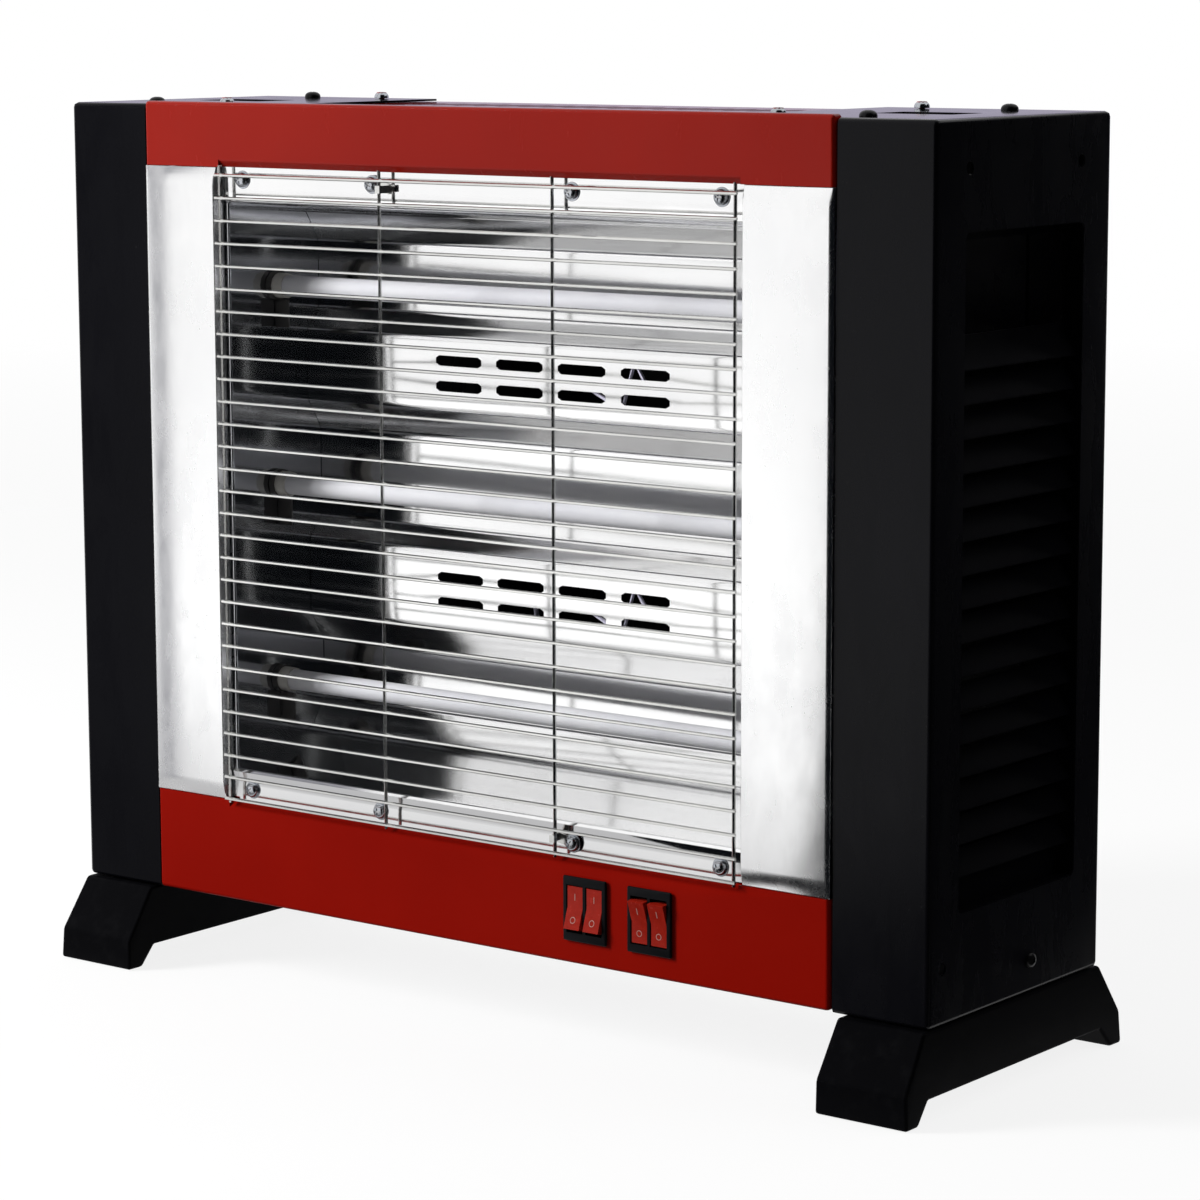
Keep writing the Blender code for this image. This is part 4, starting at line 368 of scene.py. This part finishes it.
def smoothing_group(angle):
    """Geometry nodes that join a CAD mesh's split corners and round its shading below an angle."""
    group = bpy.data.node_groups.new("soft_shading", "GeometryNodeTree")
    group.interface.new_socket("Geometry", in_out="INPUT", socket_type="NodeSocketGeometry")
    group.interface.new_socket("Geometry", in_out="OUTPUT", socket_type="NodeSocketGeometry")
    start = group.nodes.new("NodeGroupInput")
    end = group.nodes.new("NodeGroupOutput")
    merge = group.nodes.new("GeometryNodeMergeByDistance")
    merge.inputs["Distance"].default_value = SAME_CORNER
    drop = group.nodes.new("GeometryNodeRemoveAttribute")
    drop.inputs["Name"].default_value = "custom_normal"
    faces = group.nodes.new("GeometryNodeSetShadeSmooth")
    faces.domain = "FACE"
    faces.inputs["Shade Smooth"].default_value = True
    edges = group.nodes.new("GeometryNodeSetShadeSmooth")
    edges.domain = "EDGE"
    edges.inputs["Shade Smooth"].default_value = False
    corner = group.nodes.new("GeometryNodeInputMeshEdgeAngle")
    sharp = add_node(group, "FunctionNodeCompare", data_type="FLOAT", operation="GREATER_THAN")
    group.links.new(corner.outputs["Unsigned Angle"], sharp.inputs[0])
    sharp.inputs[1].default_value = angle
    group.links.new(start.outputs[0], merge.inputs["Geometry"])
    group.links.new(merge.outputs["Geometry"], drop.inputs["Geometry"])
    group.links.new(drop.outputs["Geometry"], faces.inputs["Geometry"])
    group.links.new(faces.outputs["Geometry"], edges.inputs["Geometry"])
    group.links.new(sharp.outputs["Result"], edges.inputs["Selection"])
    group.links.new(edges.outputs["Geometry"], end.inputs[0])
    return group


soft_shading = smoothing_group(CAD_SMOOTH_ANGLE)
for name, item in nodes.items():
    slot_name = item.material_slots[0].material.name.split(".")[0]
    item.material_slots[0].material = NODE_MATERIALS.get(name, SLOT_MATERIALS[slot_name])
    join = item.modifiers.new("soft_shading", "NODES")
    join.node_group = soft_shading
    weigh = item.modifiers.new("face_weights", "WEIGHTED_NORMAL")
    weigh.keep_sharp = True
    weigh.weight = FACE_WEIGHT


# Pieces that the CAD leaves to the scene

MESH_SMOOTH_ANGLE = math.radians(40)
HEAD_SMOOTH_ANGLE = math.radians(35)


def new_piece(name, mesh, material, body):
    """Object that rides on a body and takes the given material."""
    made = bpy.data.objects.new(name, mesh)
    bpy.context.scene.collection.objects.link(made)
    made.data.materials.clear()
    made.data.materials.append(material)
    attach(made, body)
    return made


def finished(bm, name):
    """Mesh of a bmesh, faces outward and smooth below an angle."""
    mesh = bpy.data.meshes.new(name)
    bmesh.ops.recalc_face_normals(bm, faces=bm.faces)
    bm.to_mesh(mesh)
    bm.free()
    mesh.shade_smooth()
    mesh.set_sharp_from_angle(angle=MESH_SMOOTH_ANGLE)
    return mesh


def turned(profile, steps):
    """Closed body turned about Z from (radius, height) points that start and end on the axis."""
    bm = bmesh.new()
    rings = []
    for radius, height in profile:
        if radius == 0.0:
            rings.append([bm.verts.new((0.0, 0.0, height))])
        else:
            rings.append([bm.verts.new((radius * math.cos(2 * math.pi * step / steps),
                                        radius * math.sin(2 * math.pi * step / steps), height))
                          for step in range(steps)])
    for lower, upper in zip(rings[:-1], rings[1:]):
        for step in range(steps):
            after = (step + 1) % steps
            corners = [lower[step % len(lower)], lower[after % len(lower)],
                       upper[after % len(upper)], upper[step % len(upper)]]
            unique = list(dict.fromkeys(corners))
            if len(unique) > 2:
                bm.faces.new(unique)
    return bm


HEAD_SIDES = 40
DOME_STEPS = 8
DOME_WALL = 0.16
DOME_FULLNESS = 0.8
CROSS_WIDTH = 0.46
CROSS_TAPER = 0.62
CROSS_OVERRUN = 0.001


def screw_head(name, radius, height, recess, cross):
    """Domed head on its seat at Z = 0, with a cross of the given depth (recess) and reach (cross)."""
    dome = [(0.0, 0.0), (radius, 0.0), (radius, height * DOME_WALL)]
    for step in range(1, DOME_STEPS):
        turn = math.pi / 2 * step / DOME_STEPS
        rise = DOME_WALL + (1 - DOME_WALL) * math.sin(turn)
        dome.append((radius * math.cos(turn) ** DOME_FULLNESS, height * rise))
    dome.append((0.0, height))
    head = bpy.data.objects.new(name, finished(turned(dome, HEAD_SIDES), name))
    bpy.context.scene.collection.objects.link(head)
    cutter_bm = bmesh.new()
    centre = (0, 0, height - recess / 2 + CROSS_OVERRUN / 2)
    size = (cross * 2, cross * CROSS_WIDTH, recess + CROSS_OVERRUN, 1.0)
    for turn in (0.0, math.pi / 2):
        place = Matrix.Translation(centre) @ Matrix.Rotation(turn, 4, "Z")
        made = bmesh.ops.create_cube(cutter_bm, size=1.0, matrix=place @ Matrix.Diagonal(size))
        for vert in made["verts"]:
            if vert.co.z < height - recess / 2:
                vert.co.x *= CROSS_TAPER
                vert.co.y *= CROSS_TAPER
    cutter_mesh = bpy.data.meshes.new(name + "_cross")
    cutter_bm.to_mesh(cutter_mesh)
    cutter_bm.free()
    cutter = bpy.data.objects.new(name + "_cross", cutter_mesh)
    bpy.context.scene.collection.objects.link(cutter)
    modifier = head.modifiers.new("cross", "BOOLEAN")
    modifier.operation = "DIFFERENCE"
    modifier.solver = "EXACT"
    modifier.use_self = True
    modifier.object = cutter
    bpy.context.view_layer.update()
    depsgraph = bpy.context.evaluated_depsgraph_get()
    mesh = bpy.data.meshes.new_from_object(head.evaluated_get(depsgraph), depsgraph=depsgraph)
    for extra in (head, cutter):
        bpy.data.objects.remove(extra, do_unlink=True)
    mesh.shade_smooth()
    mesh.set_sharp_from_angle(angle=HEAD_SMOOTH_ANGLE)
    return mesh


def placed_copies(name, mesh, places, head_way, turns):
    """One mesh with a copy of the given one at each place, its Z along head_way, turned about it."""
    to_way = Vector(UP_WAY).rotation_difference(Vector(head_way)).to_matrix().to_4x4()
    bm = bmesh.new()
    for place, turn in zip(places, turns):
        first = len(bm.verts)
        bm.from_mesh(mesh)
        bm.verts.ensure_lookup_table()
        placing = Matrix.Translation(place) @ to_way @ Matrix.Rotation(turn, 4, "Z")
        bmesh.ops.transform(bm, matrix=placing, verts=bm.verts[first:])
    made = bpy.data.meshes.new(name)
    bm.to_mesh(made)
    bm.free()
    made.shade_smooth()
    made.set_sharp_from_angle(angle=HEAD_SMOOTH_ANGLE)
    return made


SPIN_STEP = 53


def spun(count, seed):
    """Resting angles of screws, all different."""
    return [math.radians((seed + SPIN_STEP * number) % 90) for number in range(count)]


def add_heads(name, head, places, head_way, turns, material):
    """Piece of the cabinet with one head or washer at each place."""
    return new_piece(name, placed_copies(name, head, places, head_way, turns), material, ROOT)


# Flange screws sit on washers, and one in each row also holds a guard clip
FLANGE_Y = -0.0714
FLANGE_XS = (-0.1451, -0.0602, 0.0602, 0.1451)
UPPER_SCREW_Z = level(0.3642)
LOWER_SCREW_Z = level(0.0585)
CLIP_OFF = 0.0011
CLIPPED = {UPPER_SCREW_Z: 1, LOWER_SCREW_Z: 2}
WASHER_RADIUS = 0.0045
WASHER_FACE = 0.0044
WASHER_SHEET = 0.0005
WASHER_EDGE = 0.0001
WASHER_UNDER = 0.00045
flange_head = screw_head("flange_head", radius=0.0037, height=0.0031, recess=0.0015, cross=0.0023)
flange_places = [(x, FLANGE_Y - (CLIP_OFF if number == clipped else 0.0), height)
                 for height, clipped in CLIPPED.items() for number, x in enumerate(FLANGE_XS)]
washer_places = [(x, y + WASHER_UNDER, z) for x, y, z in flange_places]
washer_profile = [(0.0, 0.0), (WASHER_FACE, 0.0), (WASHER_RADIUS, WASHER_EDGE),
                  (WASHER_RADIUS, WASHER_SHEET - WASHER_EDGE), (WASHER_FACE, WASHER_SHEET),
                  (0.0, WASHER_SHEET)]
washer = finished(turned(washer_profile, HEAD_SIDES), "washer")
add_heads("flange_screw_heads", flange_head, flange_places, FRONT_WAY, spun(len(flange_places), 12),
          screw_bright)
add_heads("flange_washers", washer, washer_places, FRONT_WAY, [0.0] * len(washer_places),
          screw_bright)

# Top screws: bright ones at the ends of the top cover, black ones on the end covers
COVER_TOP = level(0.4008)
FLANGE_TOP = level(0.4005)
BRIGHT_X = 0.1666
DARK_X = 0.2145
TOP_Y = 0.0585
bright_head = screw_head("bright_head", radius=0.0037, height=0.0032, recess=0.0014, cross=0.0022)
bright_places = [(x, y, COVER_TOP) for x in (-BRIGHT_X, BRIGHT_X) for y in (-TOP_Y, TOP_Y)]
add_heads("bright_top_screw_heads", bright_head, bright_places, UP_WAY, spun(len(bright_places), 31),
          screw_bright)
dark_head = screw_head("dark_head", radius=0.0041, height=0.0030, recess=0.0013, cross=0.0022)
for side, label in ((-1, "left"), (1, "right")):
    for end, end_label in ((-1, "front"), (1, "rear")):
        node = label + "_" + end_label + "_top_screw"
        piece = add_heads(node + "_head", dark_head, [(side * DARK_X, end * TOP_Y, FLANGE_TOP)], UP_WAY,
                          spun(1, 20 + 31 * end), screw_black)
        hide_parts(node)

# Side and rear screws
SIDE_SCREW = (0.26005, 0.0117, level(0.0156))
REAR_X = 0.2121
REAR_Y = 0.0738
REAR_HEIGHTS = (0.030, 0.3705)
side_head = screw_head("side_head", radius=0.0035, height=0.0026, recess=0.0012, cross=0.0019)
for side, label in ((-1, "left"), (1, "right")):
    node = label + "_side_screw"
    place = (side * SIDE_SCREW[0], SIDE_SCREW[1], SIDE_SCREW[2])
    piece = add_heads(node + "_head", side_head, [place], (side, 0, 0), spun(1, 44),
                      screw_black)
    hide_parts(node)
rear_head = screw_head("rear_head", radius=0.0037, height=0.0034, recess=0.0008, cross=0.0019)
rear_places = [(side * REAR_X, REAR_Y, level(height)) for side in (-1, 1) for height in REAR_HEIGHTS]
add_heads("rear_screw_heads", rear_head, rear_places, REAR_WAY, spun(len(rear_places), 61),
          screw_black)


# Marks on the rockers: a bar and a ring, laid on the dished face

MARK_PROUD = 0.00006
MARK_SUNK = 0.00008
MARK_BAR_LENGTH = 0.0032
MARK_BAR_WIDTH = 0.00042
MARK_BAR_STEPS = 4
MARK_BAR_RISE = 0.0052
MARK_RING = 0.00155
MARK_RING_STEPS = 28
MARK_RING_DROP = 0.0056
MARK_LINE = 0.00034
BEFORE_FRONT = -0.12


def face_finder(node):
    mesh = nodes[node].data
    corners = [vert.co for vert in mesh.vertices]
    return BVHTree.FromPolygons(corners, [tuple(face.vertices) for face in mesh.polygons])


def laid_ring(bm, finder, points):
    """Two rows of corners, one just proud of the face at each (x, z) point and one just sunk in it."""
    front, back = [], []
    for x, z in points:
        hit = finder.ray_cast(Vector((x, BEFORE_FRONT, z)), Vector(REAR_WAY))[0]
        front.append(bm.verts.new((x, hit.y - MARK_PROUD, z)))
        back.append(bm.verts.new((x, hit.y + MARK_SUNK, z)))
    return front, back


def laid_mark(name, node, outline, hole=None):
    """Thin raised mark on a rocker's front, from closed rings of (x, z) points."""
    finder = face_finder(node)
    bm = bmesh.new()
    front, back = laid_ring(bm, finder, outline)
    count = len(outline)
    if hole is None:
        for index in range(count // 2 - 1):
            mirror = count - 1 - index
            bm.faces.new([front[index], front[index + 1], front[mirror - 1], front[mirror]])
        for index in range(count):
            after = (index + 1) % count
            bm.faces.new([front[index], back[index], back[after], front[after]])
    else:
        inner_front, inner_back = laid_ring(bm, finder, hole)
        for index in range(count):
            after = (index + 1) % count
            bm.faces.new([front[index], front[after], inner_front[after], inner_front[index]])
            bm.faces.new([front[index], back[index], back[after], front[after]])
            bm.faces.new([inner_front[index], inner_front[after], inner_back[after], inner_back[index]])
    return new_piece(name, finished(bm, name), mark_material, node + "_body")


def circle(centre_x, centre_z, radius):
    turns = [2 * math.pi * step / MARK_RING_STEPS for step in range(MARK_RING_STEPS)]
    return [(centre_x + radius * math.cos(turn), centre_z + radius * math.sin(turn)) for turn in turns]


for switch in ("left", "right"):
    for label in ("left", "right"):
        node = switch + "_switch_" + label + "_rocker"
        low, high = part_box(node)
        middle_x = (low.x + high.x) / 2
        middle_z = (low.z + high.z) / 2
        bar_z = middle_z + MARK_BAR_RISE
        rows = [bar_z + MARK_BAR_LENGTH * (step / MARK_BAR_STEPS - 0.5) for step in range(MARK_BAR_STEPS + 1)]
        bar = [(middle_x - MARK_BAR_WIDTH / 2, z) for z in rows]
        bar += [(middle_x + MARK_BAR_WIDTH / 2, z) for z in reversed(rows)]
        laid_mark(node + "_bar_mark", node, bar)
        ring_z = middle_z - MARK_RING_DROP
        laid_mark(node + "_ring_mark", node, circle(middle_x, ring_z, MARK_RING),
                  circle(middle_x, ring_z, MARK_RING - MARK_LINE))


# Camera

def add_camera():
    flat = math.cos(CAMERA_PITCH)
    forward = Vector((-math.sin(CAMERA_YAW) * flat, math.cos(CAMERA_YAW) * flat, -math.sin(CAMERA_PITCH)))
    right = Vector((math.cos(CAMERA_YAW), math.sin(CAMERA_YAW), 0.0))
    down = forward.cross(right)
    rolled_right = math.cos(CAMERA_ROLL) * right + math.sin(CAMERA_ROLL) * down
    rolled_down = -math.sin(CAMERA_ROLL) * right + math.cos(CAMERA_ROLL) * down
    data = bpy.data.cameras.new("camera")
    data.lens = CAMERA_LENS
    data.sensor_width = CAMERA_SENSOR
    data.sensor_height = CAMERA_SENSOR
    data.clip_start = CAMERA_NEAR
    data.clip_end = CAMERA_FAR
    camera = bpy.data.objects.new("camera", data)
    bpy.context.scene.collection.objects.link(camera)
    turn = Matrix((rolled_right, -rolled_down, -forward)).transposed().to_4x4()
    camera.matrix_world = Matrix.Translation(CAMERA_PLACE) @ turn
    bpy.context.scene.camera = camera


add_camera()


# Studio: pale floor that fades into a white surround, soft lamps and cards that only reflections see

FLOOR_RADIUS = 4.0
FLOOR_FADE = (1.2, 3.8)
FLOOR_BELOW = 0.0002
FLOOR_LIFT = 0.85
# The floor throws back less light than it shows
FLOOR_BOUNCE = (0.30, 0.30, 0.30)
WHITE = (1.0, 1.0, 1.0)
# The surround is dimmer at the camera's side of the front, so the window is lit from the left
WORLD_LIGHT = 0.72
WORLD_DIM = 0.08
DIM_WAY = (0.669, -0.743, 0.0)
DIM_SPAN = (-0.2, 0.5)


def seen_ray(tree):
    """1 for rays that show the surround, from the camera, off gloss or through glass, and 0 for others."""
    rays = add_node(tree, "ShaderNodeLightPath")
    mirrored = math_node(tree, "MAXIMUM", rays.outputs["Is Glossy Ray"], rays.outputs["Is Transmission Ray"])
    seen = math_node(tree, "MAXIMUM", rays.outputs["Is Camera Ray"], mirrored)
    straight = math_node(tree, "LESS_THAN", rays.outputs["Diffuse Depth"], 0.5)
    return math_node(tree, "MULTIPLY", seen, straight)


def add_floor():
    bm = bmesh.new()
    bmesh.ops.create_circle(bm, cap_ends=True, segments=96, radius=FLOOR_RADIUS)
    mesh = bpy.data.meshes.new("floor")
    bm.to_mesh(mesh)
    bm.free()
    floor = bpy.data.objects.new("floor", mesh)
    floor.location = (0.0, 0.0, -FLOOR_BELOW)
    bpy.context.scene.collection.objects.link(floor)
    made = bpy.data.materials.new("pale_floor")
    made.use_nodes = True
    tree = made.node_tree
    tree.nodes.clear()
    coords = add_node(tree, "ShaderNodeTexCoord").outputs["Object"]
    cloth = add_node(tree, "ShaderNodeBsdfDiffuse")
    tone = noise(tree, coords, scale=6.0, detail=3.0)
    pale = blend_colour(tree, tone, (0.86, 0.86, 0.86), (0.90, 0.90, 0.90))
    bounce = add_node(tree, "ShaderNodeLightPath").outputs["Is Diffuse Ray"]
    tree.links.new(blend_colour(tree, bounce, pale, FLOOR_BOUNCE), cloth.inputs["Color"])
    white = add_node(tree, "ShaderNodeEmission")
    white.inputs["Color"].default_value = (*WHITE, 1.0)
    white.inputs["Strength"].default_value = 1.0
    lift = add_node(tree, "ShaderNodeMixShader")
    tree.links.new(math_node(tree, "MULTIPLY", seen_ray(tree), FLOOR_LIFT), lift.inputs["Fac"])
    tree.links.new(cloth.outputs["BSDF"], lift.inputs[1])
    tree.links.new(white.outputs["Emission"], lift.inputs[2])
    length = add_node(tree, "ShaderNodeVectorMath", operation="LENGTH")
    tree.links.new(coords, length.inputs[0])
    fade = spread(tree, length.outputs["Value"], *FLOOR_FADE, 0.0, 1.0)
    clear = add_node(tree, "ShaderNodeBsdfTransparent")
    edge = add_node(tree, "ShaderNodeMixShader")
    tree.links.new(fade, edge.inputs["Fac"])
    tree.links.new(lift.outputs["Shader"], edge.inputs[1])
    tree.links.new(clear.outputs["BSDF"], edge.inputs[2])
    output = add_node(tree, "ShaderNodeOutputMaterial")
    tree.links.new(edge.outputs["Shader"], output.inputs["Surface"])
    mesh.materials.append(made)


def add_world():
    world = bpy.data.worlds.new("studio")
    bpy.context.scene.world = world
    world.use_nodes = True
    tree = world.node_tree
    background = tree.nodes["Background"]
    background.inputs["Color"].default_value = (*WHITE, 1.0)
    way = add_node(tree, "ShaderNodeVectorMath", operation="DOT_PRODUCT")
    tree.links.new(add_node(tree, "ShaderNodeTexCoord").outputs["Generated"], way.inputs[0])
    way.inputs[1].default_value = DIM_WAY
    light = spread(tree, way.outputs["Value"], *DIM_SPAN, WORLD_LIGHT, WORLD_DIM)
    seen = seen_ray(tree)
    unseen = math_node(tree, "MULTIPLY", light, math_node(tree, "SUBTRACT", 1.0, seen))
    tree.links.new(math_node(tree, "ADD", seen, unseen), background.inputs["Strength"])


def add_lamp(name, place, aim, size, power):
    """Soft lamp that no reflection shows."""
    data = bpy.data.lights.new(name, "AREA")
    data.shape = "RECTANGLE"
    data.size, data.size_y = size
    data.energy = power
    lamp = bpy.data.objects.new(name, data)
    lamp.location = place
    lamp.rotation_euler = (Vector(aim) - Vector(place)).to_track_quat("-Z", "Y").to_euler()
    bpy.context.scene.collection.objects.link(lamp)
    lamp.visible_glossy = False


def add_card(name, place, aim, size, shade, far_shade=None):
    """Card that is seen only in reflections, in one shade or graded along its height."""
    width, height = size
    mesh = bpy.data.meshes.new(name)
    bm = bmesh.new()
    bmesh.ops.create_grid(bm, x_segments=1, y_segments=1, size=0.5)
    bmesh.ops.scale(bm, vec=(width, height, 1.0), verts=bm.verts)
    bm.to_mesh(mesh)
    bm.free()
    card = bpy.data.objects.new(name, mesh)
    card.location = place
    card.rotation_euler = (Vector(aim) - Vector(place)).to_track_quat("Z", "Y").to_euler()
    bpy.context.scene.collection.objects.link(card)
    made = bpy.data.materials.new(name)
    made.use_nodes = True
    tree = made.node_tree
    tree.nodes.clear()
    glow = add_node(tree, "ShaderNodeEmission")
    glow.inputs["Color"].default_value = (*shade, 1.0)
    if far_shade:
        coords = add_node(tree, "ShaderNodeTexCoord").outputs["Object"]
        share = spread(tree, axis_value(tree, coords, "Y"), -height / 2, height / 2, 0.0, 1.0)
        tree.links.new(blend_colour(tree, share, shade, far_shade), glow.inputs["Color"])
    output = add_node(tree, "ShaderNodeOutputMaterial")
    tree.links.new(glow.outputs["Emission"], output.inputs["Surface"])
    mesh.materials.append(made)
    card.visible_camera = False
    card.visible_diffuse = False
    card.visible_shadow = False
    card.visible_transmission = False
    card.visible_volume_scatter = False


CARD_HEIGHT = 0.001
CAMERA_SIDE_SHADE = (0.003, 0.0035, 0.0045)
RIGHT_SHADE = (0.010, 0.010, 0.013)
FLOOR_SHADE = (0.52, 0.52, 0.525)


def add_floor_card(name, x, y, size, shade, far_shade=None):
    """Card that lies face up on the floor. Its far end is the one towards -Y."""
    add_card(name, (x, y, CARD_HEIGHT), (x, y, 1.0), size, shade, far_shade)


add_floor()
add_world()
add_lamp("key", place=(-1.41, -1.27, 1.10), aim=(0.0, 0.0, 0.22), size=(0.50, 1.1), power=62.0)
add_lamp("fill", place=(1.9, 0.9, 1.5), aim=(0.1, 0.0, 0.2), size=(1.2, 1.2), power=10.0)
# Dark round the camera, which the end wall and troughs throw back
add_card("camera_side_card", place=(0.66, -0.76, 1.35), aim=(0.0, 0.0, 1.35), size=(1.30, 3.50),
         shade=CAMERA_SIDE_SHADE)
add_card("beside_front_card", place=(1.30, -0.30, 1.35), aim=(0.0, -0.05, 1.35), size=(1.30, 3.50),
         shade=CAMERA_SIDE_SHADE)
add_floor_card("camera_floor_card", 0.66, -0.70, size=(1.32, 1.16), shade=CAMERA_SIDE_SHADE)
# Floor before the front, dim close by, which the lower panel and the slopes of the troughs throw back
add_floor_card("front_floor_card", -0.605, -0.17, size=(1.21, 0.14), shade=FLOOR_SHADE)
add_floor_card("floor_fade_card", -0.605, -0.42, size=(1.21, 0.36), shade=FLOOR_SHADE, far_shade=WHITE)
# A grey strip beside the left trim, a lilac grey card behind the top, and dark beyond the louvred side
add_card("left_card", place=(-0.397, -0.210, 0.42), aim=(-0.178, -0.0735, 0.42), size=(0.05, 0.90),
         shade=(0.25, 0.25, 0.275))
add_card("behind_card", place=(-0.60, 1.05, 0.62), aim=(0.0, 0.0, 0.62), size=(2.40, 0.60),
         shade=(0.46, 0.43, 0.54))
add_card("right_card", place=(0.95, 0.75, 0.35), aim=(0.26, 0.0, 0.25), size=(1.3, 1.5), shade=RIGHT_SHADE)
add_floor_card("right_floor_card", 0.90, 0.70, size=(1.20, 1.60), shade=RIGHT_SHADE)

bpy.context.scene.view_settings.view_transform = "Standard"
